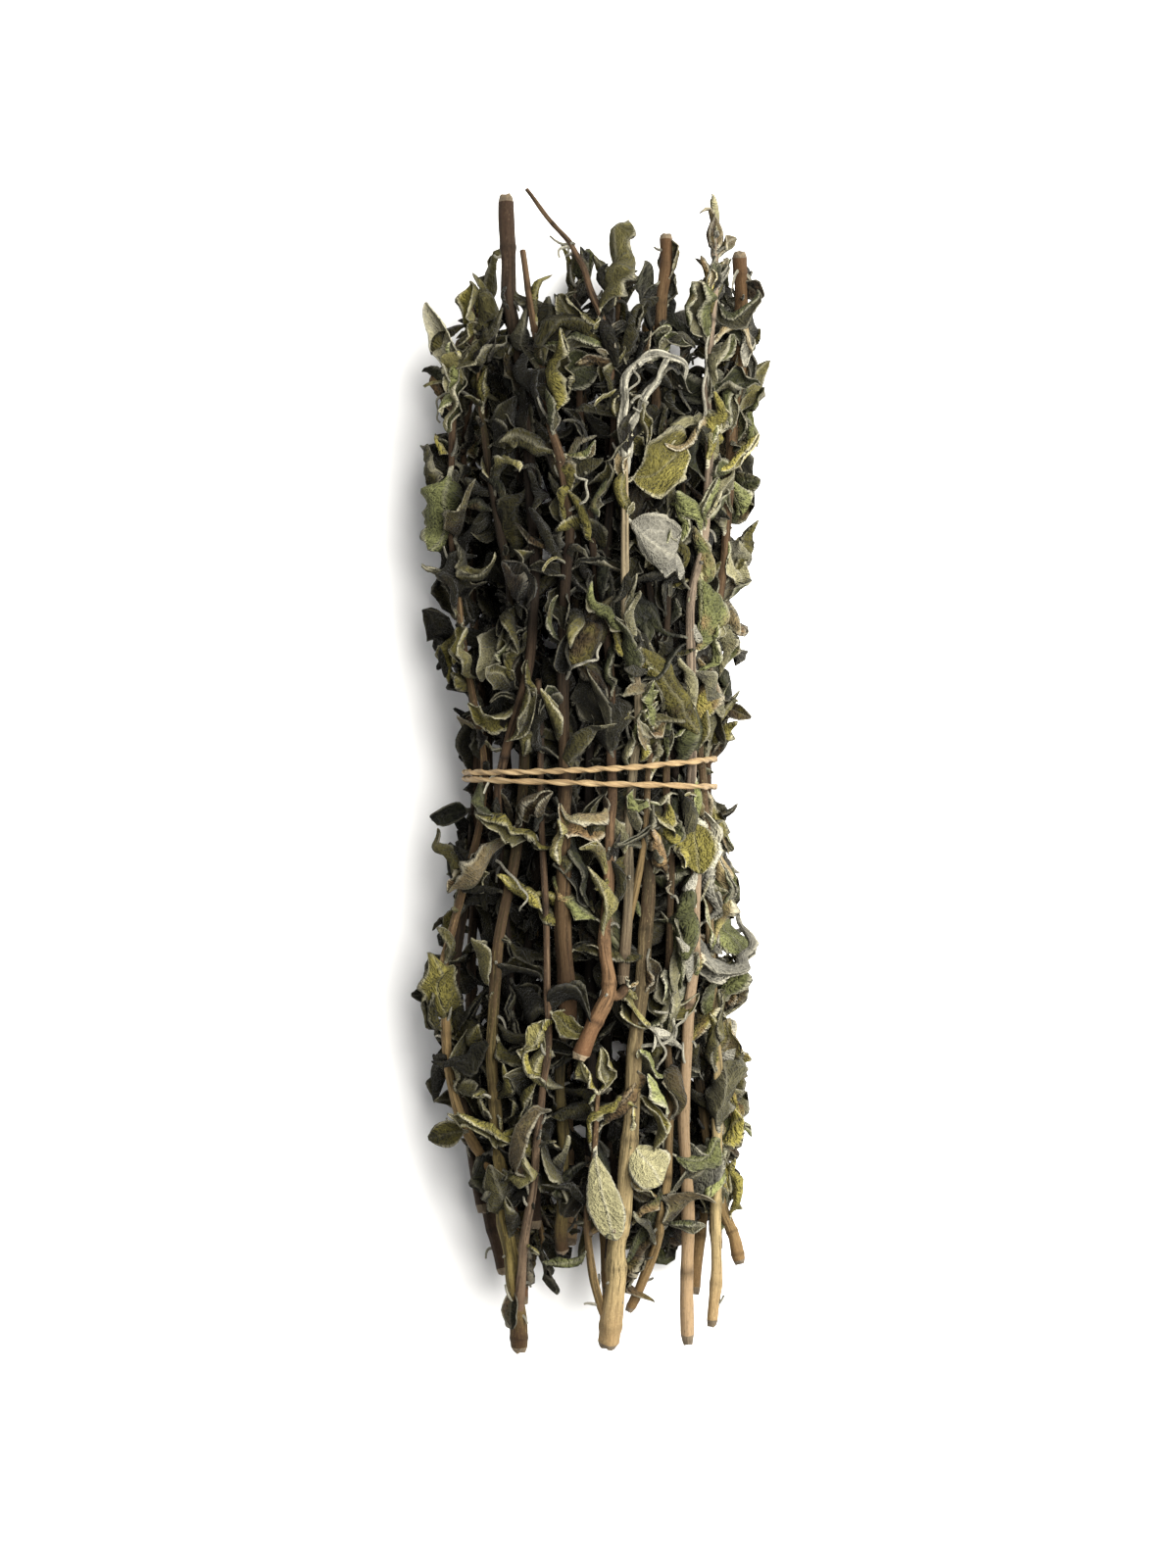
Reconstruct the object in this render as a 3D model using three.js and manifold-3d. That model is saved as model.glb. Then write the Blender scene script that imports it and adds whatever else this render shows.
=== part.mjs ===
// A dried bunch of garden sage: woody leafy sprigs laid side by side, some of them head to tail,
// and held at the waist by one length of twisted raffia that goes round them twice.
// Millimetres. The bunch lies on its back along Y, tips towards +Y and most cut ends towards -Y,
// on the plane z = 0, with the origin under the middle of its box.
import * as THREE from "three";
import { mergeVertices } from "three/addons/utils/BufferGeometryUtils.js";
import Module from "manifold-3d";

const wasm = await Module();
wasm.setup();

// ---- driving dimensions -------------------------------------------------------------------------

const BUNCH = { halfLength: 148.6, halfWidth: 46 };

// The body of the bunch along Y: where its middle is, its half-width and half-height, and how far
// its underside is off the table. The waist is where the tie pulls it in.
const GIRTH = [
  { y: -149, middle: 8, halfWidth: 30, halfHeight: 15, underside: 8 },
  { y: -100, middle: 3, halfWidth: 35, halfHeight: 22.5, underside: 1.5 },
  { y: -50, middle: -1.5, halfWidth: 37, halfHeight: 26, underside: 0 },
  { y: 0, middle: 1.9, halfWidth: 31, halfHeight: 22, underside: 4 },
  { y: 45, middle: -2, halfWidth: 37.5, halfHeight: 26.5, underside: 0 },
  { y: 90, middle: 0.5, halfWidth: 39.5, halfHeight: 26, underside: 0 },
  { y: 149, middle: 8, halfWidth: 38, halfHeight: 20, underside: 6 },
];

const STEM = { sides: 5, step: 24 };

// A leaf blade is thickest on its midrib and thins to its rims. Pressed on the table, it keeps the
// thickness pressed. Leaves over the length long are made with more steps.
const BLADE = {
  ...{ thickness: 1.2, pressed: 0.9, stalk: 0.55, petiole: 0.14, heel: 1.5 },
  ...{ waves: 1.7, long: 28 },
};

// How far a leaf may stand proud of the body of the bunch, and how much of it may be sunk in stems.
const LIMITS = { drawn: { proud: 5.5, sunk: 0.015 }, show: { proud: 16, sunk: 0.3 } };

const GAP = 0.35; // what a piece keeps clear of the next one
const WAIST = 5; // how far from y = 0 the stems are what the tie goes round

// The raffia's two turns lie side by side on the left and spread apart towards the right. The stems
// are looked at from so many directions for where it runs, and its stops are at least so far apart.
const TIE = {
  radius: 0.75,
  sides: 6,
  looks: 180,
  apart: 1.4,
  turns: [
    { left: 0.45, right: 3.9, bow: 2.4 },
    { left: -1.15, right: -3.2, bow: 0.8 },
  ],
  knot: [3.1, 2.2, 1.5],
  tails: [[5, 13, -1.9], [-3, -15, -1.9]],
};

// Every sprig runs from its cut end to its tip. A course point is [x, y, h], where h runs from -1 on
// the underside of the bunch to 1 on its upper face. radius is at the cut end and at the tip, and
// leaves is [from, to, how many pairs] along the course.
const SPRIGS = [
  {
    name: "sprig_left",
    radius: [2.1, 0.7],
    course: [[-17, -147.5, 0.35], [-19.5, -126, 0.5], [-22, -104, 0.65], [-24, -80, 0.75],
      [-23, -45, 0.8], [-16, 0, 0.72], [-20, 45, 0.62], [-26, 85, 0.62], [-29, 110, 0.55]],
    leaves: [0.2, 0.98, 11],
    branches: [
      {
        radius: [1.3, 0.8],
        course: [[-21.6, -106, 0.64], [-32, -89, 0.62], [-35.4, -73, 0.62], [-37, -51, 0.6],
          [-35, -41, 0.65], [-29.5, -22, 0.8], [-26.5, 0, 0.75], [-29, 18, 0.78], [-33, 45, 0.7]],
        leaves: [0.3, 0.98, 4],
      },
      {
        radius: [1.2, 0.7],
        course: [[-17.6, -141, 0.4], [-16.6, -125, 0.7], [-14, -102, 0.85], [-12, -86, 0.9],
          [-10.5, -70, 0.93], [-10.3, -45, 0.93], [-12, 0, 0.84], [-12.5, 24, 0.9]],
        leaves: [0.25, 0.98, 3],
      },
    ],
  },
  {
    name: "sprig_thick",
    radius: [2.7, 0.8],
    course: [[5, -146, 0.5], [7.2, -125, 0.75], [9.3, -104, 0.85], [12.5, -66, 0.84],
      [15, -32, 0.8], [14.5, 0, 0.5], [14, 40, 0.45], [13, 80, 0.4], [10, 112, 0.4]],
    leaves: [0.3, 0.98, 10],
    branches: [
      {
        radius: [1.1, 0.6],
        course: [[4.9, -141, 0.55], [0.8, -126, 0.8], [0.2, -113, 0.9], [1.5, -95, 0.96], [2.5, -80, 0.95]],
        leaves: [0.5, 0.98, 3],
      },
      { radius: [0.8, 0.6], course: [[0.3, -116.5, 0.88], [3, -114.5, 1.02], [5.8, -115.5, 1.1]] },
    ],
  },
  {
    name: "sprig_forked",
    radius: [2.0, 0.7],
    course: [[-1.9, -71.8, 1.03], [2.8, -60, 1.03], [5.4, -53.5, 1.0], [4.4, -45, 0.97],
      [4.8, -32, 0.95], [5.5, -13, 0.92], [6.3, 0, 0.88], [5.5, 25, 0.8], [0.8, 60, 0.7],
      [-1.5, 90, 0.66], [-2, 112, 0.6]],
    leaves: [0.42, 0.98, 10],
    branches: [{ radius: [1.3, 1.0], course: [[5, -55, 1.0], [8, -56, 1.0], [10.2, -53.5, 1.02]] }],
  },
  {
    name: "sprig_red",
    radius: [2.2, 0.7],
    course: [[-5.4, -66.5, 0.88], [-6, -41.8, 0.88], [-6, -15, 0.88], [-6.2, 0, 0.84], [-6, 40, 0.74],
      [-5, 57, 0.82], [-6, 75.5, 0.9], [-9.3, 88.8, 0.94], [-13, 109, 0.9], [-16.5, 133, 0.8]],
    leaves: [0.12, 0.9, 13],
  },
  {
    name: "sprig_pale",
    radius: [1.4, 0.8],
    course: [[8.7, -53, 0.86], [9.7, -35, 0.88], [10.4, -17, 0.88], [11.2, 0, 0.86], [12.6, 12, 0.9],
      [11.5, 28, 0.94], [9.5, 42, 0.99], [9.4, 73, 1.01], [8.8, 92, 0.99], [10.5, 101, 0.96],
      [15, 106, 0.92]],
    leaves: [0.3, 0.98, 9],
    branches: [
      {
        radius: [0.9, 0.6],
        course: [[9.3, -42, 0.87], [13, -24, 0.9], [15, -4, 0.88], [16.5, 10, 0.9], [16, 30, 0.92]],
        leaves: [0.5, 0.98, 3],
      },
    ],
  },
  {
    name: "sprig_right",
    radius: [1.6, 0.8],
    course: [[25.5, -145.5, 0.3], [25.3, -117, 0.6], [24.3, -85, 0.84], [25.8, -62, 0.87],
      [27, -42, 0.87], [27.3, -20, 0.85], [26.3, 0, 0.8], [26, 22, 0.85], [26.5, 44, 0.9],
      [29.5, 62, 0.92], [30.7, 85, 0.93], [30.7, 105, 0.92], [32, 122, 0.88], [32.5, 136, 0.82]],
    leaves: [0.14, 0.98, 15],
  },
  {
    name: "sprig_edge",
    radius: [1.4, 0.7],
    course: [[31.8, -141, 0.3], [32.8, -115, 0.5], [33, -85, 0.6], [32, -58, 0.62], [30.8, -28, 0.7],
      [29.3, 0, 0.45], [26.5, 30, 0.4], [25, 60, 0.35], [24, 92, 0.4]],
    leaves: [0.15, 0.98, 13],
  },
  {
    name: "sprig_upended_right",
    radius: [1.7, 0.7],
    course: [[39, 133, 0.55], [39, 115, 0.5], [37.6, 95, 0.6], [36, 75, 0.6], [34, 50, 0.55],
      [31.5, 22, 0.1], [30.3, 0, -0.6], [32, -30, -0.1], [33, -60, 0]],
    leaves: [0.1, 0.98, 11],
  },
  {
    name: "sprig_splayed",
    radius: [1.5, 0.7],
    course: [[39, -125, 0.3], [34.5, -110, 0.15], [29, -85, 0.1], [24.5, -50, 0.2], [21, 0, 0.2],
      [20, 40, 0.2], [22, 80, 0.1], [24, 110, 0]],
    leaves: [0.12, 0.98, 10],
  },
  {
    name: "sprig_green",
    radius: [1.6, 0.7],
    course: [[-6.6, -122, 0.5], [-6.5, -106, 0.58], [-6.8, -77, 0.6], [-6.5, -40, 0.58], [-4, 0, 0.5],
      [-3, 40, 0.42], [-2, 80, 0.5], [-1, 112, 0.5]],
    leaves: [0.1, 0.98, 10],
  },
  {
    name: "sprig_slanting",
    radius: [1.2, 0.7],
    course: [[10.2, -137, 0.3], [17, -121, 0.62], [19.5, -107, 0.78], [20.7, -85, 0.8],
      [20.2, -58, 0.74], [20.8, -30, 0.78], [20.3, 0, 0.78], [19.5, 30, 0.72], [20.5, 60, 0.7],
      [19, 92, 0.74]],
    leaves: [0.15, 0.98, 11],
  },
  {
    name: "sprig_upended_left",
    radius: [1.9, 0.7],
    course: [[-21, 147.3, 0.55], [-20.3, 127, 0.65], [-18.5, 112, 0.64], [-16, 95, 0.6],
      [-14, 70, 0.62], [-14, 40, 0.75], [-17, 18, 0.88], [-22.3, 0, 0.88], [-22.5, -18, 0.62],
      [-20, -45, 0.45], [-19, -75, 0.4], [-18, -98, 0.35]],
    leaves: [0.1, 0.98, 13],
  },
  {
    name: "sprig_long",
    radius: [1.5, 0.55],
    course: [[0.5, -100, 0.3], [1, -60, 0.38], [0.3, 0, 0.55], [3, 40, 0.55], [6, 75, 0.76],
      [6.3, 96, 0.92], [5.3, 106, 0.96], [2, 119, 1.0], [-2, 130, 1.02], [-7, 137, 1.02],
      [-15.5, 148.4, 0.95]],
    leaves: [0.08, 0.66, 10],
  },
  {
    name: "sprig_upended_middle",
    radius: [1.5, 0.7],
    course: [[20, 137, 0.6], [18.8, 120, 0.68], [17.5, 100, 0.66], [15.5, 75, 0.66], [16.2, 45, 0.66],
      [22.3, 0, 0.48], [24, -30, 0.5], [24.5, -60, 0.45], [22, -88, 0.4]],
    leaves: [0.1, 0.98, 10],
  },
  {
    name: "sprig_far_left",
    radius: [1.5, 0.6],
    course: [[-27, -112, -0.1], [-32, -80, -0.2], [-34, -50, -0.2], [-28, 0, -0.5], [-33, 40, 0.05],
      [-35, 75, 0.3], [-33.5, 100, 0.45], [-29, 112, 0.6], [-31, 122, 0.7]],
    leaves: [0.08, 0.93, 13],
  },
  {
    name: "sprig_under_left",
    radius: [1.9, 0.7],
    course: [[-17, -136, -0.45], [-21, -100, -0.84], [-22.5, -50, -0.9], [-20.5, 0, -0.8],
      [-24.5, 50, -0.9], [-27, 95, -0.86], [-26, 122, -0.65]],
    leaves: [0.12, 0.98, 9],
  },
  {
    name: "sprig_under_upended_left",
    radius: [1.7, 0.7],
    course: [[-12.5, 116, -0.7], [-13.5, 90, -0.94], [-13.5, 50, -0.95], [-12.5, 0, -0.85],
      [-14, -50, -0.94], [-13.5, -100, -0.88], [-12, -122, -0.7]],
    leaves: [0.12, 0.98, 8],
  },
  {
    name: "sprig_under_middle_left",
    radius: [2.0, 0.7],
    course: [[-4.5, -121, -0.7], [-5.5, -95, -0.92], [-5.5, -50, -0.955], [-4.5, 0, -0.87],
      [-4.5, 50, -0.97], [-5, 95, -0.97], [-3, 126, -0.7]],
    leaves: [0.14, 0.98, 8],
  },
  {
    name: "sprig_under_middle_right",
    radius: [2.1, 0.7],
    course: [[6.5, -139, -0.5], [3.5, -100, -0.985], [3.5, -50, -0.975], [4, 0, -0.87],
      [4.5, 50, -0.955], [5.5, 95, -0.955], [8, 128, -0.7]],
    leaves: [0.14, 0.98, 8],
  },
  {
    name: "sprig_under_upended_right",
    radius: [1.8, 0.7],
    course: [[16, 117, -0.68], [14.3, 90, -0.93], [13.3, 50, -0.95], [12.5, 0, -0.85],
      [12, -50, -0.95], [12, -100, -0.88], [15, -121, -0.7]],
    leaves: [0.12, 0.98, 8],
  },
  {
    name: "sprig_under_right",
    radius: [1.8, 0.7],
    course: [[23, -121, -0.65], [21, -95, -0.84], [19.8, -50, -0.9], [20.5, 0, -0.8],
      [21.5, 50, -0.9], [24, 95, -0.88], [27, 122, -0.7]],
    leaves: [0.14, 0.98, 9],
  },
  {
    name: "sprig_under_edge",
    radius: [1.5, 0.7],
    course: [[33, -122, -0.4], [30, -85, -0.6], [27.8, -45, -0.7], [26.8, 0, -0.72],
      [28.5, 45, -0.68], [32, 90, -0.5], [34, 123, -0.3]],
    leaves: [0.12, 0.98, 10],
  },
  {
    name: "sprig_low_left",
    radius: [1.6, 0.7],
    course: [[-22, -128, -0.3], [-28, -95, -0.55], [-30, -50, -0.6], [-25.5, 0, -0.75],
      [-30, 45, -0.6], [-31.5, 85, -0.5], [-28, 118, -0.3]],
    leaves: [0.1, 0.98, 10],
  },
  {
    name: "sprig_low_right",
    radius: [1.5, 0.7],
    course: [[27, -133, -0.2], [31, -95, -0.3], [32, -50, -0.35], [27.5, 0, -0.25],
      [31.5, 45, -0.25], [35.5, 85, -0.2], [37, 112, 0]],
    leaves: [0.1, 0.98, 10],
  },
  {
    name: "sprig_inner_left",
    radius: [1.6, 0.7],
    course: [[-13, -116, 0], [-16, -60, 0.05], [-12, 0, 0.05], [-16, 50, 0.1], [-19, 104, 0.15]],
    leaves: [0.1, 0.98, 4],
  },
  {
    name: "sprig_inner_middle",
    radius: [1.6, 0.7],
    course: [[6, -126, -0.1], [5, -60, -0.15], [3.5, 0, -0.1], [5, 50, -0.1], [6, 110, -0.05]],
    leaves: [0.1, 0.98, 4],
  },
];

// Leaves that stand out of the crowd, each on the sprig named, or on that numbered branch of it, set
// from where its stalk leaves the stem (share along the course). heading is in the table's plane, from
// +Y towards +X, and pitch is above it. face turns the blade round its own midrib, from facing up.
const SHOW_LEAVES = [
  { on: "sprig_pale", at: 0.78, heading: 115, pitch: 4, face: -8, length: 19, width: 15,
    bend: -0.5, twist: 0.2, roll: [0.5, 0.6], sway: 0.25 },
  { on: "sprig_pale", at: 0.66, heading: 110, pitch: 2, face: 5, length: 16, width: 13,
    bend: -0.3, twist: 0, roll: [0.25, 0.3], sway: 0.2 },
  { on: "sprig_pale", at: 0.56, heading: 140, pitch: -6, face: 12, length: 33, width: 11,
    bend: -0.45, twist: 0.35, roll: [-1.5, -1.3], sway: 0.12 },
  { on: "sprig_thick", branch: 1, at: 0.8, heading: 176, pitch: 14, face: 10, length: 26, width: 9,
    bend: -0.4, twist: 0.1, roll: [-0.45, -0.35], sway: -0.1 },
  { on: "sprig_thick", at: 0.23, heading: 42, pitch: 34, face: -6, length: 15, width: 11,
    bend: -0.5, twist: 0.2, roll: [-0.4, -0.4], sway: 0.1 },
  { on: "sprig_right", at: 0.42, heading: 180, pitch: 38, face: 0, length: 16, width: 12,
    bend: -0.5, twist: -0.2, roll: [0.3, 0.5], sway: -0.1 },
  { on: "sprig_red", at: 0.83, heading: 62, pitch: 12, face: -10, length: 15, width: 12,
    bend: -0.5, twist: 0.1, roll: [0.35, 0.3], sway: 0.1 },
  { on: "sprig_far_left", at: 0.76, heading: -14, pitch: 30, face: 20, length: 24, width: 12,
    bend: -0.7, twist: 0.5, roll: [0.9, 0.7], sway: -0.1 },
  { on: "sprig_far_left", at: 0.22, heading: -92, pitch: 8, face: 30, length: 12.5, width: 7,
    bend: 0.3, twist: 0.3, roll: [0.8, 0.8], sway: 0 },
  { on: "sprig_far_left", at: 0.355, heading: -98, pitch: 10, face: 20, length: 11, width: 8,
    bend: -0.4, twist: 0.3, roll: [0.7, 0.5], sway: 0 },
  { on: "sprig_left", branch: 1, at: 0.11, heading: -95, pitch: 12, face: 15, length: 11, width: 8,
    bend: -0.5, twist: 0.3, roll: [0.7, 0.8], sway: 0 },
  { on: "sprig_left", at: 0.1, heading: 222, pitch: 22, face: 20, length: 13, width: 8,
    bend: -0.4, twist: 0.4, roll: [1.0, 0.8], sway: 0 },
  { on: "sprig_upended_right", at: 0.05, heading: 122, pitch: 0, face: 30, length: 7.4, width: 6,
    bend: 0.3, twist: 0.3, roll: [0.6, 0.6], sway: 0 },
  { on: "sprig_upended_right", at: 0.62, heading: 118, pitch: 15, face: 20, length: 11.5, width: 8,
    bend: -0.4, twist: 0.3, roll: [0.6, 0.7], sway: 0 },
];

const COLOURS = { leaf: 0x6b6f4e, raffia: 0xc79a63 };

// ---- shared rules -------------------------------------------------------------------------------

// A seeded stream of numbers from 0 to 1.
function stream(seed) {
  let state = seed | 0;
  return () => {
    state = (state + 0x6d2b79f5) | 0;
    let t = Math.imul(state ^ (state >>> 15), 1 | state);
    t = (t + Math.imul(t ^ (t >>> 7), 61 | t)) ^ t;
    return ((t ^ (t >>> 14)) >>> 0) / 4294967296;
  };
}

const between = (low, high, share) => low + (high - low) * share;
const radians = (degrees) => (degrees * Math.PI) / 180;

// The body's section at a station along Y, eased from one row of GIRTH to the next.
function girthAt(y) {
  const next = GIRTH.findIndex((row) => row.y > y);
  const k = next < 0 ? GIRTH.length - 2 : Math.max(0, next - 1);
  const share = Math.max(0, Math.min(1, (y - GIRTH[k].y) / (GIRTH[k + 1].y - GIRTH[k].y)));
  const eased = share * share * (3 - 2 * share);
  const at = (key) => between(GIRTH[k][key], GIRTH[k + 1][key], eased);
  return {
    middle: at("middle"),
    halfWidth: at("halfWidth"),
    halfHeight: at("halfHeight"),
    underside: at("underside"),
  };
}

// A course point [x, y, h] as a place in the bunch, which its own weight flattens below.
function placed([x, y, h]) {
  const g = girthAt(y);
  const across = Math.abs(x - g.middle) / g.halfWidth;
  const reach = g.halfHeight * Math.sqrt(Math.max(0.04, 1 - Math.pow(across, h < 0 ? 3 : 2)));
  return new THREE.Vector3(x, y, g.underside + g.halfHeight + h * reach);
}

// The way out of the bunch from a point in it, square to the bunch's surface.
function outwardAt(point) {
  const g = girthAt(point.y);
  const across = (point.x - g.middle) / g.halfWidth ** 2;
  const above = (point.z - g.underside - g.halfHeight) / g.halfHeight ** 2;
  return new THREE.Vector3(across, 0, above).normalize();
}

// How far a point stands outside the body of the bunch, about.
function proudOf(point) {
  const g = girthAt(point.y);
  const across = (point.x - g.middle) / g.halfWidth;
  const above = (point.z - g.underside - g.halfHeight) / g.halfHeight;
  return (Math.hypot(across, above) - 1) * Math.min(g.halfWidth, g.halfHeight);
}

// ---- solids -------------------------------------------------------------------------------------

// A closed geometry through rings of points that run counter-clockwise round the way of travel. It
// ends in flat caps, or in the points heel and tip where they are given. Neighbouring quads are split
// in mirror image, so that the two faces of a thin blade are split alike.
function loft(rings, heel, tip) {
  const sides = rings[0].length;
  const points = rings.flat();
  const faces = [];
  const end = (rings.length - 1) * sides;
  for (let i = 0; i < sides; i += 1) {
    const next = (i + 1) % sides;
    for (let r = 0; r < end; r += sides) {
      const [a0, a1, b0, b1] = [r + i, r + next, r + i + sides, r + next + sides];
      faces.push(...(i % 2 ? [a0, a1, b0, a1, b1, b0] : [a0, a1, b1, a0, b1, b0]));
    }
    if (heel) faces.push(points.length, next, i);
    if (tip) faces.push(points.length + 1, end + i, end + next);
    if (!heel && i > 0 && next > 0) faces.push(0, next, i);
    if (!tip && i > 0 && next > 0) faces.push(end, end + i, end + next);
  }
  const ends = heel ? [heel, tip] : [];
  return new THREE.BufferGeometry().setFromPoints([...points, ...ends]).setIndex(faces);
}

function solidOf(geometry) {
  return new wasm.Manifold(
    new wasm.Mesh({
      numProp: 3,
      vertProperties: geometry.getAttribute("position").array,
      triVerts: new Uint32Array(geometry.index.array),
    }),
  );
}

function geometryOf(solid) {
  const mesh = solid.getMesh();
  const points = new Float32Array(mesh.numVert * 3);
  for (let i = 0; i < mesh.numVert; i += 1) {
    points.set(mesh.vertProperties.subarray(i * mesh.numProp, i * mesh.numProp + 3), i * 3);
  }
  const geometry = new THREE.BufferGeometry()
    .setAttribute("position", new THREE.BufferAttribute(points, 3))
    .setIndex(new THREE.BufferAttribute(mesh.triVerts, 1));
  geometry.computeVertexNormals();
  return geometry;
}

// The largest body of a fused solid: any loose scrap or sealed hollow is left out.
function soundBody(parts) {
  const whole = parts.reduce((all, part) => all.add(part));
  return whole.decompose().reduce((best, body) => (body.volume() > best.volume() ? body : best));
}

// A tube of a few sides along a list of { middle, up, across, radius }, with a flat side down and no
// lower than the table.
function tube(stops, sides) {
  const rings = stops.map(({ middle, up, across, radius }) => {
    const ring = [];
    for (let i = 0; i < sides; i += 1) {
      const turn = ((i + 0.5) / sides) * 2 * Math.PI;
      const point = middle
        .clone()
        .addScaledVector(up, -radius * Math.cos(turn))
        .addScaledVector(across, -radius * Math.sin(turn));
      point.z = Math.max(0, point.z);
      ring.push(point);
    }
    return ring;
  });
  return solidOf(loft(rings));
}

// ---- stems --------------------------------------------------------------------------------------

const curveOf = (stem) => new THREE.CatmullRomCurve3(stem.course.map(placed), false, "catmullrom");

// The stem's own axes at a share of its course: along it, up from the table, and across.
function axesAt(curve, share) {
  const along = curve.getTangent(share);
  const up = new THREE.Vector3(0, 0, 1).addScaledVector(along, -along.z).normalize();
  return { along, up, across: new THREE.Vector3().crossVectors(along, up) };
}

// The stops that a stem's tube runs through, straight from one to the next.
function stopsOf(stem) {
  const curve = curveOf(stem);
  const steps = Math.max(2, Math.round(curve.getLength() / STEM.step));
  return Array.from({ length: steps + 1 }, (_, k) => ({
    middle: curve.getPoint(k / steps),
    radius: between(...stem.radius, k / steps),
    ...axesAt(curve, k / steps),
  }));
}

const stemSolid = (stem) => tube(stopsOf(stem), STEM.sides);

// ---- leaves -------------------------------------------------------------------------------------

// Half-width of a leaf, as a share of its widest, along its midrib: a stalk, then an oblong blade.
function outlineAt(share) {
  if (share <= BLADE.petiole) return 0;
  const q = (share - BLADE.petiole) / (1 - BLADE.petiole);
  return Math.pow(Math.max(0, Math.sin(Math.PI * Math.pow(q, 0.9))), 0.75);
}

// A point of a leaf: share runs along the midrib, side is -1 or 1 at a rim and 0 on the midrib, and
// lift is off the blade's middle surface. The midrib bends towards the leaf's face, sways sideways
// and twists. Each half of the blade rolls towards the face, or away from it where roll is negative,
// and the rims are waved.
function leafPoint(leaf, share, side, lift, grow) {
  const bend = leaf.bend * share;
  const reach = leaf.length * share;
  const level = Math.abs(bend) < 1e-4;
  const edge = new THREE.Vector3().crossVectors(leaf.along, leaf.face);
  const face = leaf.face
    .clone()
    .multiplyScalar(Math.cos(bend))
    .addScaledVector(leaf.along, -Math.sin(bend));
  const point = leaf.root
    .clone()
    .addScaledVector(leaf.along, reach * (level ? 1 : Math.sin(bend) / bend))
    .addScaledVector(leaf.face, reach * (level ? bend / 2 : (1 - Math.cos(bend)) / bend))
    .addScaledVector(edge, leaf.sway * reach * share);
  const twist = leaf.twist * share;
  const out = edge.clone().multiplyScalar(Math.cos(twist)).addScaledVector(face, Math.sin(twist));
  const off = face.clone().multiplyScalar(Math.cos(twist)).addScaledVector(edge, -Math.sin(twist));
  const spread = outlineAt(share);
  const half = Math.max(BLADE.stalk, (leaf.width / 2) * spread) + grow;
  const roll = leaf.roll[side > 0 ? 1 : 0] || 0.01;
  const curl = roll * Math.abs(side);
  const ripple = Math.sin(2 * Math.PI * BLADE.waves * share + leaf.phase * (side + 2));
  return point
    .addScaledVector(out, (Math.sign(side) * half * Math.sin(curl)) / roll)
    .addScaledVector(off, (half * (1 - Math.cos(curl))) / roll + lift)
    .addScaledVector(off, leaf.wave * spread * side * side * ripple);
}

// A leaf as a thin four-sided solid, grown all round by grow. It comes to a point in the heart of its
// stem, and is pressed flat on the table.
function leafSolid(leaf, grow = 0) {
  const stations = leaf.length > BLADE.long ? [0.26, 0.54, 0.82] : [0.34, 0.74];
  const thick = BLADE.thickness / 2 + grow;
  const press = (point, least) => {
    point.z = Math.max(least, point.z);
    return point;
  };
  const rings = stations.map((share) => [
    press(leafPoint(leaf, share, -1, 0, grow), 0),
    press(leafPoint(leaf, share, 0, thick, grow), BLADE.pressed * (leaf.face.z > 0 ? 1 : 0)),
    press(leafPoint(leaf, share, 1, 0, grow), 0),
    press(leafPoint(leaf, share, 0, -thick, grow), BLADE.pressed * (leaf.face.z > 0 ? 0 : 1)),
  ]);
  const tip = press(leafPoint(leaf, 1 + grow / leaf.length, 0, 0, 0), BLADE.pressed / 2);
  return solidOf(loft(rings, leaf.heel, tip));
}

// Where a leaf joins its stem: root is on the tube's axis, and heel a little further down it.
function jointOf(stem, share, along) {
  const stops = stopsOf(stem);
  const place = Math.min(share, 0.999) * (stops.length - 1);
  const [from, to] = [stops[Math.floor(place)].middle, stops[Math.floor(place) + 1].middle];
  const root = from.clone().lerp(to, place % 1);
  const down = from.clone().sub(to).normalize();
  return { root, heel: root.clone().addScaledVector(down, -BLADE.heel * Math.sign(down.dot(along))) };
}

// The ways a leaf may lie, the likeliest first: it turns round the stem, lies closer, then is smaller.
const TURNS = [0, 25, -25, 50, -50, 85, -85, 130];
const WAYS = [[1, 1], [0.6, 1], [0.8, 0.72]].flatMap(([close, size]) =>
  TURNS.map((turn) => ({ turn, close, size })),
);

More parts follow.
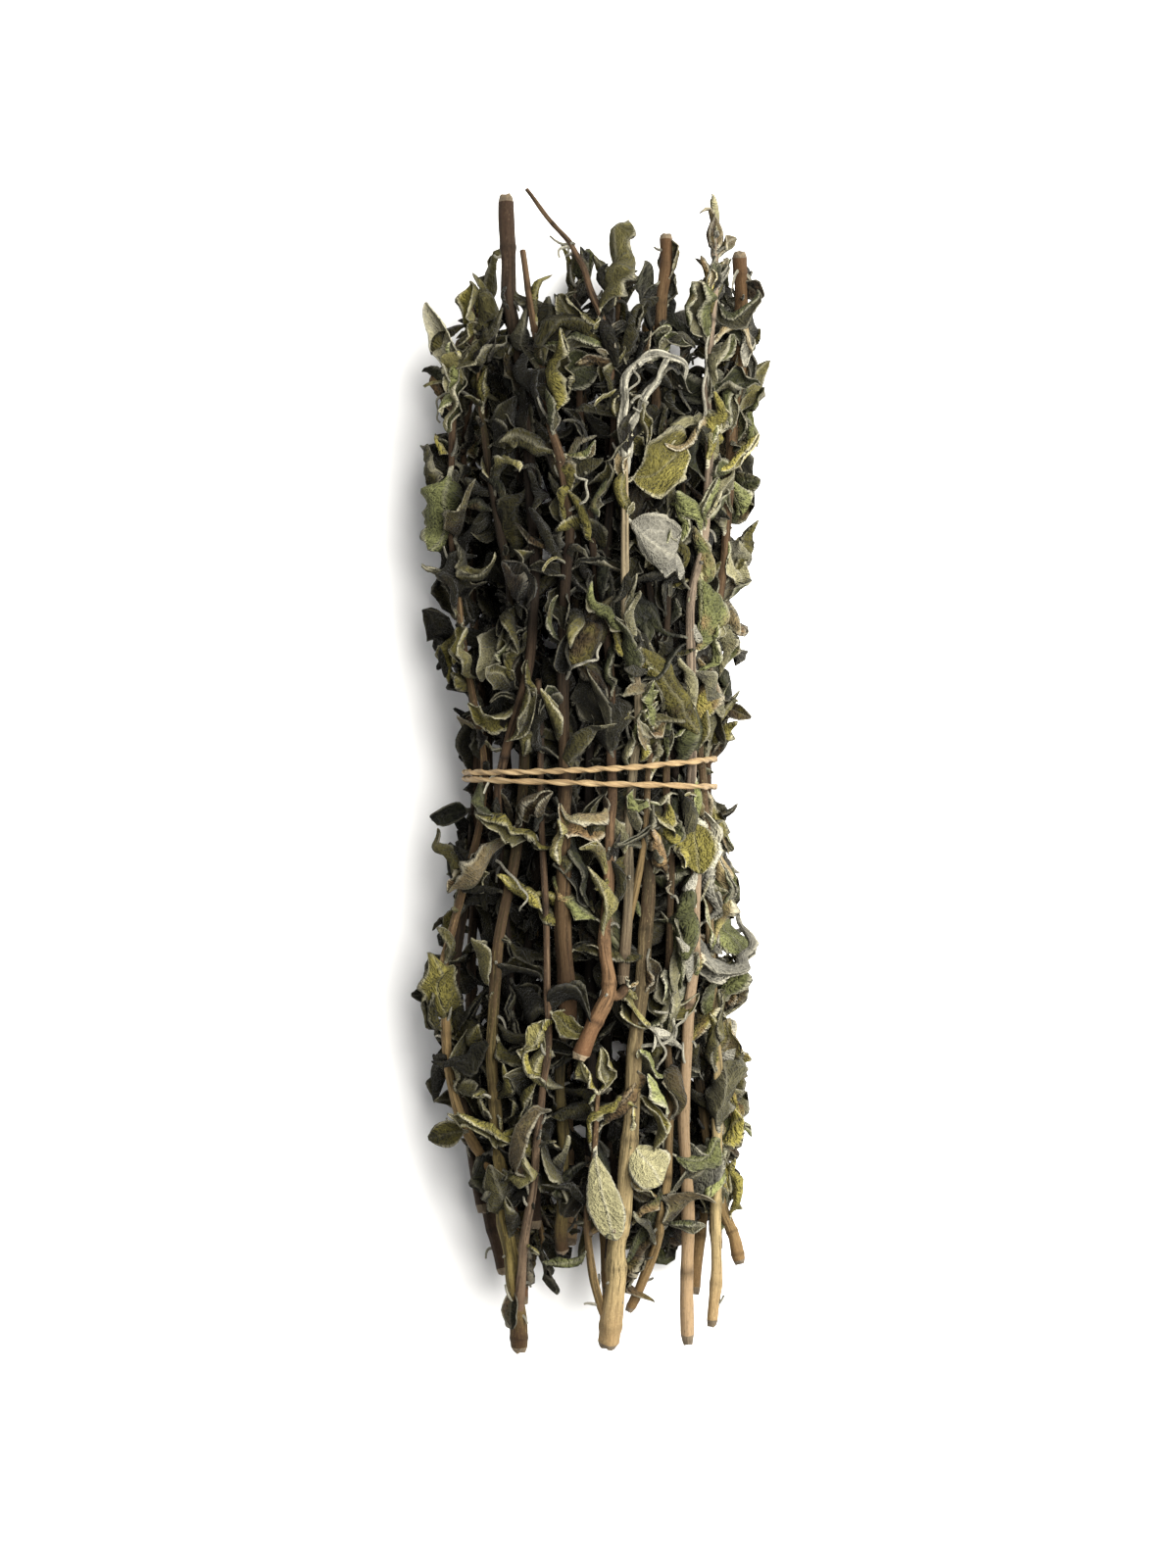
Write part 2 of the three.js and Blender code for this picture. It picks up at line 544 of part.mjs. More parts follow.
// The leaves of one stem, in opposite pairs that spread to the outside of the bunch, now wide and now
// narrow. Each leaf is the list of ways it may lie.
function leavesOf(stem, seed) {
  if (!stem.leaves) return [];
  const draw = stream(seed);
  const curve = curveOf(stem);
  const [from, to, pairs] = stem.leaves;
  const found = [];
  for (let k = 0; k < 2 * pairs; k += 1) {
    const pair = Math.floor(k / 2);
    const share = between(from, to, pairs > 1 ? pair / (pairs - 1) : 1);
    const { along, up, across } = axesAt(curve, share);
    const outward = outwardAt(curve.getPoint(share));
    const spread = (pair % 2 ? 42 : 84) * (k % 2 ? 1 : -1) + between(-22, 22, draw());
    const turn = Math.atan2(outward.dot(across), outward.dot(up)) + radians(spread);
    const hangs = draw() < 0.3;
    const lift = hangs ? between(120, 156, draw()) : between(18, 56, draw());
    const bend = between(-1.5, 1.4, draw());
    const twist = between(-1.7, 1.7, draw());
    const under = draw() < 0.6 ? -1 : 1;
    const rolled = between(0.6, 2.5, draw());
    const uneven = between(0.6, 1.3, draw());
    const young = 1 - 0.35 * Math.max(0, (share - 0.7) / 0.3);
    const length = between(13, 27, draw()) * young;
    const width = length * between(0.42, 0.6, draw());
    const sway = between(-0.18, 0.18, draw());
    const wave = between(0.3, 1.3, draw());
    const phase = between(0, 6, draw());
    const roll = [under * rolled, under * rolled * uneven];
    found.push(
      WAYS.map((way) => {
        const angle = turn + radians(way.turn);
        const open = radians(hangs ? 180 - (180 - lift) * way.close : lift * way.close);
        const out = up.clone().multiplyScalar(Math.cos(angle)).addScaledVector(across, Math.sin(angle));
        const ahead = along.clone().multiplyScalar(Math.cos(open)).addScaledVector(out, Math.sin(open));
        return {
          ...jointOf(stem, share, ahead),
          along: ahead,
          face: along.clone().multiplyScalar(Math.sin(open)).addScaledVector(out, -Math.cos(open)),
          length: length * way.size,
          width: width * way.size,
          ...{ bend, twist, roll, sway, wave, phase },
        };
      }),
    );
  }
  return found;
}

// A leaf from SHOW_LEAVES, which lies one way only.
function showLeaf(show, stem) {
  const [heading, pitch, face] = [show.heading, show.pitch, show.face].map(radians);
  const along = new THREE.Vector3(
    Math.sin(heading) * Math.cos(pitch),
    Math.cos(heading) * Math.cos(pitch),
    Math.sin(pitch),
  );
  const above = new THREE.Vector3(0, 0, 1).addScaledVector(along, -along.z).normalize();
  const across = new THREE.Vector3().crossVectors(along, above);
  const turned = above.multiplyScalar(Math.cos(face)).addScaledVector(across, Math.sin(face));
  return { wave: 0.4, phase: 0, ...show, ...jointOf(stem, show.at, along), along, face: turned };
}

// ---- the tie ------------------------------------------------------------------------------------

// A tight cord's middle line round the stems, as where it runs for each direction that it faces. It
// is the hull of the stems' sections near y = 0, a gap and the cord's radius out.
function waistline() {
  const sections = [];
  for (const stem of SPRIGS.flatMap((sprig) => [sprig, ...(sprig.branches || [])])) {
    const stops = stopsOf(stem);
    for (let k = 0; k + 1 < stops.length; k += 1) {
      for (let share = 0; share <= 1; share += 0.05) {
        const { x, y, z } = stops[k].middle.clone().lerp(stops[k + 1].middle, share);
        const radius = between(stops[k].radius, stops[k + 1].radius, share);
        if (Math.abs(y) < WAIST) sections.push({ x, z, radius });
      }
    }
  }
  return (turn) => {
    const [wayX, wayZ] = [Math.cos(turn), Math.sin(turn)];
    const reach = ({ x, z, radius }) => x * wayX + z * wayZ + radius;
    const held = sections.reduce((best, section) => (reach(section) > reach(best) ? section : best));
    const out = held.radius + GAP + TIE.radius;
    return new THREE.Vector3(held.x + out * wayX, 0, held.z + out * wayZ);
  };
}

// The tie: two turns of raffia, the knot under the bunch that they meet in, and its two loose ends.
function tieSolid() {
  const line = waistline();
  const bottom = line(-Math.PI / 2);
  const [left, right] = [line(Math.PI).x, line(0).x];
  const turns = TIE.turns.map((sides) => {
    const stops = [];
    for (let k = 0; k <= TIE.looks; k += 1) {
      const turn = (k / TIE.looks - 0.25) * 2 * Math.PI;
      const middle = line(turn);
      if (k > 0 && middle.distanceTo(stops.at(-1).middle.clone().setY(0)) < TIE.apart) continue;
      const across = Math.pow((middle.x - left) / (right - left), sides.bow);
      const knotted = Math.pow(Math.max(0, -Math.sin(turn)), 4);
      middle.y = between(sides.left, sides.right, across) * (1 - knotted);
      const up = new THREE.Vector3(Math.cos(turn), 0, Math.sin(turn));
      stops.push({ middle, up, across: new THREE.Vector3(0, 1, 0), radius: TIE.radius });
    }
    return tube(stops, TIE.sides);
  });
  const sunk = TIE.radius - TIE.knot[2];
  const lump = new THREE.IcosahedronGeometry(1, 1).scale(...TIE.knot);
  lump.translate(bottom.x, bottom.y, bottom.z + sunk);
  lump.deleteAttribute("normal");
  lump.deleteAttribute("uv");
  const tails = TIE.tails.map((reach) => {
    const end = bottom.clone().add(new THREE.Vector3(...reach));
    const along = end.clone().sub(bottom).normalize();
    const across = new THREE.Vector3().crossVectors(along, new THREE.Vector3(0, 0, 1)).normalize();
    const up = new THREE.Vector3().crossVectors(across, along);
    const stop = (where, radius) => ({ middle: where, up, across, radius });
    return tube([stop(bottom, TIE.radius), stop(end, TIE.radius * 0.8)], TIE.sides);
  });
  return soundBody([solidOf(mergeVertices(lump, 1e-4)), ...turns, ...tails]);
}

// ---- the bunch ----------------------------------------------------------------------------------

const meets = (a, b) => [0, 1, 2].every((k) => a.box.min[k] < b.box.max[k] && b.box.min[k] < a.box.max[k]);
const withBox = (solid, plant, root) => ({ solid, plant, root, box: solid.boundingBox() });

// Whether a leaf keeps to its limits, and is clear of all that is there but the stems of its own
// sprig and the leaf opposite it.
function fits(leaf, plant, there, limits) {
  const outline = [0.4, 0.7, 1].flatMap((share) => [-1, 1].map((side) => leafPoint(leaf, share, side, 0, 0)));
  const loose = outline.some((point) => {
    const beyond = Math.abs(point.x) > BUNCH.halfWidth || Math.abs(point.y) > BUNCH.halfLength;
    return beyond || point.z < -4 || proudOf(point) > limits.proud;
  });
  if (loose) return false;
  const blade = leafSolid(leaf);
  const sunk = plant.solids.slice(0, plant.stems.length).map((stem) => blade.intersect(stem).volume());
  if (sunk.some((volume) => volume > limits.sunk * blade.volume())) return false;
  const grown = withBox(leafSolid(leaf, GAP));
  const near = there.filter((other) => {
    const own = other.plant === plant && (!other.root || other.root.equals(leaf.root));
    return !own && meets(grown, other);
  });
  return near.every((other) => grown.solid.intersect(other.solid).isEmpty());
}

function bunch() {
  const plants = SPRIGS.map((sprig, number) => ({
    name: sprig.name,
    number,
    stems: [sprig, ...(sprig.branches || [])],
    solids: [],
  }));
  const tie = tieSolid();
  const there = [withBox(tie)];
  for (const plant of plants) {
    for (const stem of plant.stems) {
      const solid = stemSolid(stem);
      plant.solids.push(solid);
      there.push(withBox(solid, plant));
    }
  }
  const add = (leaf, plant) => {
    const solid = leafSolid(leaf);
    plant.solids.push(solid);
    there.push(withBox(solid, plant, leaf.root));
  };
  for (const show of SHOW_LEAVES) {
    const plant = plants.find(({ name }) => name === show.on);
    const leaf = showLeaf(show, plant.stems[show.branch || 0]);
    if (fits(leaf, plant, there, LIMITS.show)) add(leaf, plant);
  }
  for (const plant of plants) {
    plant.stems.forEach((stem, place) => {
      for (const ways of leavesOf(stem, 1000 * (plant.number + 1) + place)) {
        const leaf = ways.find((way) => fits(way, plant, there, LIMITS.drawn));
        if (leaf) add(leaf, plant);
      }
    });
  }
  const group = new THREE.Group();
  const piece = (name, solid, colour, roughness) => {
    const material = new THREE.MeshStandardMaterial({ color: colour, roughness, metalness: 0 });
    const mesh = new THREE.Mesh(geometryOf(solid), material);
    mesh.name = name;
    group.add(mesh);
  };
  for (const plant of plants) piece(plant.name, soundBody(plant.solids), COLOURS.leaf, 0.9);
  piece("raffia_tie", tie, COLOURS.raffia, 0.7);
  return group;
}

export default bunch();
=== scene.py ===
"""A tied bunch of dried sage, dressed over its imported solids.

Every sprig is made again as a round, ridged stem with crinkled leaves where its solid has plain
ones, and with the small leaves, curled stalks and buds that its solid leaves out. The tie is made
again as two plies of twisted raffia. Lengths are in millimetres until a mesh is made.
"""

import math
from types import SimpleNamespace

import bpy
import numpy as np
from bpy.props import FloatProperty, FloatVectorProperty, PointerProperty
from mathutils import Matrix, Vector
from mathutils.kdtree import KDTree


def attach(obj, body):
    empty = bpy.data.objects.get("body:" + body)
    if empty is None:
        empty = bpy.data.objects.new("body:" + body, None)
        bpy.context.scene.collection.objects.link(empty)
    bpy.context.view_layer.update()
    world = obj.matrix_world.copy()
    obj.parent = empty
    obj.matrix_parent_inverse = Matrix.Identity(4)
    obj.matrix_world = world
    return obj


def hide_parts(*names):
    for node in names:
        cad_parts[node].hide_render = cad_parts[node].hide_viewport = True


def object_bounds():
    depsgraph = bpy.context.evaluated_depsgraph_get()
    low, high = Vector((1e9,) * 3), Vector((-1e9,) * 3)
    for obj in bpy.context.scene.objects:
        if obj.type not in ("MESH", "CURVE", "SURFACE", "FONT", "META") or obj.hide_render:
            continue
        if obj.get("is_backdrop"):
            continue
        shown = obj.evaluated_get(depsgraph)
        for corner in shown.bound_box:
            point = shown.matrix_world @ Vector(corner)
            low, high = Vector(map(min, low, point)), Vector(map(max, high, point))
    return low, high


bl_info = {
    "name": "Dried sage bunch",
    "version": (1, 0, 0),
    "blender": (4, 5, 0),
    "location": "View3D > Sidebar > Sage",
    "description": "Dresses a tied bunch of dried sage over its packed solids",
    "category": "Add Mesh",
}

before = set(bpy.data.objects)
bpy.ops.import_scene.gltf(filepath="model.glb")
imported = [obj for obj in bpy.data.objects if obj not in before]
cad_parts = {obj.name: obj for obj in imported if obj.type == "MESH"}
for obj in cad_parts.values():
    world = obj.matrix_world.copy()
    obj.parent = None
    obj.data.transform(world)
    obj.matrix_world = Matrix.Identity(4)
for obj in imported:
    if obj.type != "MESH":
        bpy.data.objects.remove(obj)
solid_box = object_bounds()

MM = 0.001

# ---- the bunch, as its solids have it -------------------------------------------------------------

# The body of the bunch along Y: y, middle, half-width, half-height, and how high its underside is.
GIRTH = (
    (-149, 8, 30, 15, 8),
    (-100, 3, 35, 22.5, 1.5),
    (-50, -1.5, 37, 26, 0),
    (0, 1.9, 31, 22, 4),
    (45, -2, 37.5, 26.5, 0),
    (90, 0.5, 39.5, 26, 0),
    (149, 8, 38, 20, 6),
)

HALF_LENGTH = 148.6
HALF_WIDTH = 46.0
STOP_STEP = 24.0  # between the stops of a stem's solid
STALK = 0.55  # half-width of a leaf's stalk
PETIOLE = 0.14  # share of a leaf's length that is stalk
WAVES = 1.7  # along a leaf's rims
LOWEST_TIP = 0.45  # above the table
LOWEST_MIDDLE = 0.3  # above the table, of the middle of a leaf's thickness
TIP_MATCH = 4e-5  # metres from a leaf's tip to a corner of its solid
PROUD = 4.5  # how far a leaf may stand out of the body of the bunch
NECK = 4.0  # how far loose leaves keep from the tie, along the bunch and into it
WAIST = 5.0  # how far from y = 0 the stems are what the tie goes round
GAP = 0.35  # between the tie and the stems

# The tie: where along Y each of its turns is on the left and on the right, and how it bows between
# them, half the size of its knot, and how far each loose end reaches from there.
TIE_RADIUS = 0.75
TIE_TURNS = (dict(left=0.45, right=3.9, bow=2.4), dict(left=-1.15, right=-3.2, bow=0.8))
KNOT = (3.1, 2.2, 1.5)
TAILS = ((5, 13, -1.9), (-3, -15, -1.9))

UP = np.array((0.0, 0.0, 1.0))


def between(low, high, share):
    """What is at a share of the way from low to high."""
    return low + (high - low) * share


def unit(vector):
    """A vector at a length of 1, or each row of an array of vectors."""
    return vector / np.linalg.norm(vector, axis=-1, keepdims=True)


def swung(ahead, aside, turn):
    """The way that is turned by an angle from ahead towards aside."""
    return ahead * np.cos(turn) + aside * np.sin(turn)


def distances(line):
    """How far along a line of points each one is."""
    return np.concatenate(([0], np.cumsum(np.linalg.norm(np.diff(line, axis=0), axis=1))))


WORD = 0xFFFFFFFF  # the largest number of 32 bits
STRIDE = 0x6D2B79F5  # from one state of a stream to the next


def stream(seed):
    """A seeded stream of numbers, each from low to high. It draws what the solids' own stream does."""
    state = seed & WORD

    def draw(low=0.0, high=1.0):
        nonlocal state
        state = (state + STRIDE) & WORD
        t = ((state ^ (state >> 15)) * (1 | state)) & WORD
        t = ((t + (t ^ (t >> 7)) * (61 | t)) & WORD) ^ t
        return between(low, high, ((t ^ (t >> 14)) & WORD) / (WORD + 1))

    return draw


def girth_at(y):
    """The body's middle, half-width, half-height and underside at a station along Y."""
    above = [k for k, row in enumerate(GIRTH) if row[0] > y]
    k = max(0, above[0] - 1) if above else len(GIRTH) - 2
    low, high = np.array(GIRTH[k], float), np.array(GIRTH[k + 1], float)
    share = min(1.0, max(0.0, (y - low[0]) / (high[0] - low[0])))
    return between(low, high, share * share * (3 - 2 * share))[1:]


def placed(point):
    """A course point (x, y, h) as a place in the bunch, which its own weight flattens below."""
    x, y, h = point
    middle, half_width, half_height, underside = girth_at(y)
    across = abs(x - middle) / half_width
    reach = half_height * math.sqrt(max(0.04, 1 - across ** (3 if h < 0 else 2)))
    return np.array((x, y, underside + half_height + h * reach))


def outward_at(point):
    """The way out of the bunch from a point in it."""
    middle, half_width, half_height, underside = girth_at(point[1])
    above = point[2] - underside - half_height
    return unit(np.array(((point[0] - middle) / half_width**2, 0.0, above / half_height**2)))


def proud_of(point):
    """How far a point stands outside the body of the bunch, about."""
    middle, half_width, half_height, underside = girth_at(point[1])
    across = (point[0] - middle) / half_width
    above = (point[2] - underside - half_height) / half_height
    return (math.hypot(across, above) - 1) * min(half_width, half_height)


class Stem:
    """A stem from its cut end to its tip. A course point is (x, y, h), where h runs from -1 on the
    underside of the bunch to 1 on its upper face, and leaves is (from, to, how many pairs)."""

    def __init__(self, radius, leaves, course):
        self.radius = radius
        self.leaves = leaves
        places = [placed(point) for point in course]
        before, after = 2 * places[0] - places[1], 2 * places[-1] - places[-2]
        self.knots = np.array([before, *places, after])
        self.length = float(distances(self.at(np.linspace(0, 1, 201)))[-1])
        steps = max(2, round(self.length / STOP_STEP))
        self.stops = self.at(np.linspace(0, 1, steps + 1))

    def at(self, share):
        """The places at some shares of the course, on a smooth curve through its points."""
        place = np.clip(share, 0, 1) * (len(self.knots) - 3)
        k = np.minimum(np.floor(place).astype(int), len(self.knots) - 4)
        t = (place - k)[..., None]
        a, b, c, d = (self.knots[k + i] for i in range(4))
        leaving, arriving = (c - a) / 2, (d - b) / 2
        bow = 3 * (c - b) - 2 * leaving - arriving
        return b + t * leaving + t**2 * bow + t**3 * (2 * (b - c) + leaving + arriving)

    def axes(self, share):
        """The stem's own axes: along it, up from the table, and across."""
        ends = self.at(np.array((max(0.0, share - 1e-4), min(1.0, share + 1e-4))))
        along = unit(ends[1] - ends[0])
        up = unit(UP - along * along[2])
        return along, up, np.cross(along, up)

    def open_turn(self, share):
        """How far round the stem from up the way out of the bunch is."""
        _, up, across = self.axes(share)
        outward = outward_at(self.at(share))
        return math.atan2(outward @ across, outward @ up)

    def root(self, share):
        """Where a leaf joins the straight runs of the stem's solid."""
        place = min(share, 0.999) * (len(self.stops) - 1)
        k = int(place)
        return between(self.stops[k], self.stops[k + 1], place - k)


class Leaf(SimpleNamespace):
    """A leaf, from its root on the stem. along is the way that it starts and face the way that its
    upper side looks. It bends towards face, more towards its tip with a hook, sways sideways, twists
    and rolls up its two halves. full makes the blade blunter, smooth takes its quilting away, fade
    makes one half paler, and turned shows the felted side instead of the upper one."""

    stalk = STALK
    wave = 0.4
    phase = hook = full = smooth = fade = 0.0
    turned = False


# The stems of each sprig, main stem first.
SPRIGS = {
    "sprig_left": [
        Stem((2.1, 0.7), (0.2, 0.98, 11), [
            (-17, -147.5, 0.35), (-19.5, -126, 0.5), (-22, -104, 0.65), (-24, -80, 0.75), (-23, -45, 0.8),
            (-16, 0, 0.72), (-20, 45, 0.62), (-26, 85, 0.62), (-29, 110, 0.55)]),
        Stem((1.3, 0.8), (0.3, 0.98, 4), [
            (-21.6, -106, 0.64), (-32, -89, 0.62), (-35.4, -73, 0.62), (-37, -51, 0.6), (-35, -41, 0.65),
            (-29.5, -22, 0.8), (-26.5, 0, 0.75), (-29, 18, 0.78), (-33, 45, 0.7)]),
        Stem((1.2, 0.7), (0.25, 0.98, 3), [
            (-17.6, -141, 0.4), (-16.6, -125, 0.7), (-14, -102, 0.85), (-12, -86, 0.9),
            (-10.5, -70, 0.93), (-10.3, -45, 0.93), (-12, 0, 0.84), (-12.5, 24, 0.9)]),
    ],
    "sprig_thick": [
        Stem((2.7, 0.8), (0.3, 0.98, 10), [
            (5, -146, 0.5), (7.2, -125, 0.75), (9.3, -104, 0.85), (12.5, -66, 0.84), (15, -32, 0.8),
            (14.5, 0, 0.5), (14, 40, 0.45), (13, 80, 0.4), (10, 112, 0.4)]),
        Stem((1.1, 0.6), (0.5, 0.98, 3), [
            (4.9, -141, 0.55), (0.8, -126, 0.8), (0.2, -113, 0.9), (1.5, -95, 0.96), (2.5, -80, 0.95)]),
        Stem((0.8, 0.6), None, [
            (0.3, -116.5, 0.88), (3, -114.5, 1.02), (5.8, -115.5, 1.1)]),
    ],
    "sprig_forked": [
        Stem((2, 0.7), (0.42, 0.98, 10), [
            (-1.9, -71.8, 1.03), (2.8, -60, 1.03), (5.4, -53.5, 1), (4.4, -45, 0.97), (4.8, -32, 0.95),
            (5.5, -13, 0.92), (6.3, 0, 0.88), (5.5, 25, 0.8), (0.8, 60, 0.7), (-1.5, 90, 0.66),
            (-2, 112, 0.6)]),
        Stem((1.3, 1), None, [
            (5, -55, 1), (8, -56, 1), (10.2, -53.5, 1.02)]),
    ],
    "sprig_red": [Stem((2.2, 0.7), (0.12, 0.9, 13), [
        (-5.4, -66.5, 0.88), (-6, -41.8, 0.88), (-6, -15, 0.88), (-6.2, 0, 0.84), (-6, 40, 0.74),
        (-5, 57, 0.82), (-6, 75.5, 0.9), (-9.3, 88.8, 0.94), (-13, 109, 0.9), (-16.5, 133, 0.8)])],
    "sprig_pale": [
        Stem((1.4, 0.8), (0.3, 0.98, 9), [
            (8.7, -53, 0.86), (9.7, -35, 0.88), (10.4, -17, 0.88), (11.2, 0, 0.86), (12.6, 12, 0.9),
            (11.5, 28, 0.94), (9.5, 42, 0.99), (9.4, 73, 1.01), (8.8, 92, 0.99), (10.5, 101, 0.96),
            (15, 106, 0.92)]),
        Stem((0.9, 0.6), (0.5, 0.98, 3), [
            (9.3, -42, 0.87), (13, -24, 0.9), (15, -4, 0.88), (16.5, 10, 0.9), (16, 30, 0.92)]),
    ],
    "sprig_right": [Stem((1.6, 0.8), (0.14, 0.98, 15), [
        (25.5, -145.5, 0.3), (25.3, -117, 0.6), (24.3, -85, 0.84), (25.8, -62, 0.87), (27, -42, 0.87),
        (27.3, -20, 0.85), (26.3, 0, 0.8), (26, 22, 0.85), (26.5, 44, 0.9), (29.5, 62, 0.92),
        (30.7, 85, 0.93), (30.7, 105, 0.92), (32, 122, 0.88), (32.5, 136, 0.82)])],
    "sprig_edge": [Stem((1.4, 0.7), (0.15, 0.98, 13), [
        (31.8, -141, 0.3), (32.8, -115, 0.5), (33, -85, 0.6), (32, -58, 0.62), (30.8, -28, 0.7),
        (29.3, 0, 0.45), (26.5, 30, 0.4), (25, 60, 0.35), (24, 92, 0.4)])],
    "sprig_upended_right": [Stem((1.7, 0.7), (0.1, 0.98, 11), [
        (39, 133, 0.55), (39, 115, 0.5), (37.6, 95, 0.6), (36, 75, 0.6), (34, 50, 0.55), (31.5, 22, 0.1),
        (30.3, 0, -0.6), (32, -30, -0.1), (33, -60, 0)])],
    "sprig_splayed": [Stem((1.5, 0.7), (0.12, 0.98, 10), [
        (39, -125, 0.3), (34.5, -110, 0.15), (29, -85, 0.1), (24.5, -50, 0.2), (21, 0, 0.2),
        (20, 40, 0.2), (22, 80, 0.1), (24, 110, 0)])],
    "sprig_green": [Stem((1.6, 0.7), (0.1, 0.98, 10), [
        (-6.6, -122, 0.5), (-6.5, -106, 0.58), (-6.8, -77, 0.6), (-6.5, -40, 0.58), (-4, 0, 0.5),
        (-3, 40, 0.42), (-2, 80, 0.5), (-1, 112, 0.5)])],
    "sprig_slanting": [Stem((1.2, 0.7), (0.15, 0.98, 11), [
        (10.2, -137, 0.3), (17, -121, 0.62), (19.5, -107, 0.78), (20.7, -85, 0.8), (20.2, -58, 0.74),
        (20.8, -30, 0.78), (20.3, 0, 0.78), (19.5, 30, 0.72), (20.5, 60, 0.7), (19, 92, 0.74)])],
    "sprig_upended_left": [Stem((1.9, 0.7), (0.1, 0.98, 13), [
        (-21, 147.3, 0.55), (-20.3, 127, 0.65), (-18.5, 112, 0.64), (-16, 95, 0.6), (-14, 70, 0.62),
        (-14, 40, 0.75), (-17, 18, 0.88), (-22.3, 0, 0.88), (-22.5, -18, 0.62), (-20, -45, 0.45),
        (-19, -75, 0.4), (-18, -98, 0.35)])],
    "sprig_long": [Stem((1.5, 0.55), (0.08, 0.66, 10), [
        (0.5, -100, 0.3), (1, -60, 0.38), (0.3, 0, 0.55), (3, 40, 0.55), (6, 75, 0.76), (6.3, 96, 0.92),
        (5.3, 106, 0.96), (2, 119, 1), (-2, 130, 1.02), (-7, 137, 1.02), (-15.5, 148.4, 0.95)])],
    "sprig_upended_middle": [Stem((1.5, 0.7), (0.1, 0.98, 10), [
        (20, 137, 0.6), (18.8, 120, 0.68), (17.5, 100, 0.66), (15.5, 75, 0.66), (16.2, 45, 0.66),
        (22.3, 0, 0.48), (24, -30, 0.5), (24.5, -60, 0.45), (22, -88, 0.4)])],
    "sprig_far_left": [Stem((1.5, 0.6), (0.08, 0.93, 13), [
        (-27, -112, -0.1), (-32, -80, -0.2), (-34, -50, -0.2), (-28, 0, -0.5), (-33, 40, 0.05),
        (-35, 75, 0.3), (-33.5, 100, 0.45), (-29, 112, 0.6), (-31, 122, 0.7)])],
    "sprig_under_left": [Stem((1.9, 0.7), (0.12, 0.98, 9), [
        (-17, -136, -0.45), (-21, -100, -0.84), (-22.5, -50, -0.9), (-20.5, 0, -0.8), (-24.5, 50, -0.9),
        (-27, 95, -0.86), (-26, 122, -0.65)])],
    "sprig_under_upended_left": [Stem((1.7, 0.7), (0.12, 0.98, 8), [
        (-12.5, 116, -0.7), (-13.5, 90, -0.94), (-13.5, 50, -0.95), (-12.5, 0, -0.85), (-14, -50, -0.94),
        (-13.5, -100, -0.88), (-12, -122, -0.7)])],
    "sprig_under_middle_left": [Stem((2, 0.7), (0.14, 0.98, 8), [
        (-4.5, -121, -0.7), (-5.5, -95, -0.92), (-5.5, -50, -0.955), (-4.5, 0, -0.87), (-4.5, 50, -0.97),
        (-5, 95, -0.97), (-3, 126, -0.7)])],
    "sprig_under_middle_right": [Stem((2.1, 0.7), (0.14, 0.98, 8), [
        (6.5, -139, -0.5), (3.5, -100, -0.985), (3.5, -50, -0.975), (4, 0, -0.87), (4.5, 50, -0.955),
        (5.5, 95, -0.955), (8, 128, -0.7)])],
    "sprig_under_upended_right": [Stem((1.8, 0.7), (0.12, 0.98, 8), [
        (16, 117, -0.68), (14.3, 90, -0.93), (13.3, 50, -0.95), (12.5, 0, -0.85), (12, -50, -0.95),
        (12, -100, -0.88), (15, -121, -0.7)])],
    "sprig_under_right": [Stem((1.8, 0.7), (0.14, 0.98, 9), [
        (23, -121, -0.65), (21, -95, -0.84), (19.8, -50, -0.9), (20.5, 0, -0.8), (21.5, 50, -0.9),
        (24, 95, -0.88), (27, 122, -0.7)])],
    "sprig_under_edge": [Stem((1.5, 0.7), (0.12, 0.98, 10), [
        (33, -122, -0.4), (30, -85, -0.6), (27.8, -45, -0.7), (26.8, 0, -0.72), (28.5, 45, -0.68),
        (32, 90, -0.5), (34, 123, -0.3)])],
    "sprig_low_left": [Stem((1.6, 0.7), (0.1, 0.98, 10), [
        (-22, -128, -0.3), (-28, -95, -0.55), (-30, -50, -0.6), (-25.5, 0, -0.75), (-30, 45, -0.6),
        (-31.5, 85, -0.5), (-28, 118, -0.3)])],
    "sprig_low_right": [Stem((1.5, 0.7), (0.1, 0.98, 10), [
        (27, -133, -0.2), (31, -95, -0.3), (32, -50, -0.35), (27.5, 0, -0.25), (31.5, 45, -0.25),
        (35.5, 85, -0.2), (37, 112, 0)])],
    "sprig_inner_left": [Stem((1.6, 0.7), (0.1, 0.98, 4), [
        (-13, -116, 0), (-16, -60, 0.05), (-12, 0, 0.05), (-16, 50, 0.1), (-19, 104, 0.15)])],
    "sprig_inner_middle": [Stem((1.6, 0.7), (0.1, 0.98, 4), [
        (6, -126, -0.1), (5, -60, -0.15), (3.5, 0, -0.1), (5, 50, -0.1), (6, 110, -0.05)])],
}

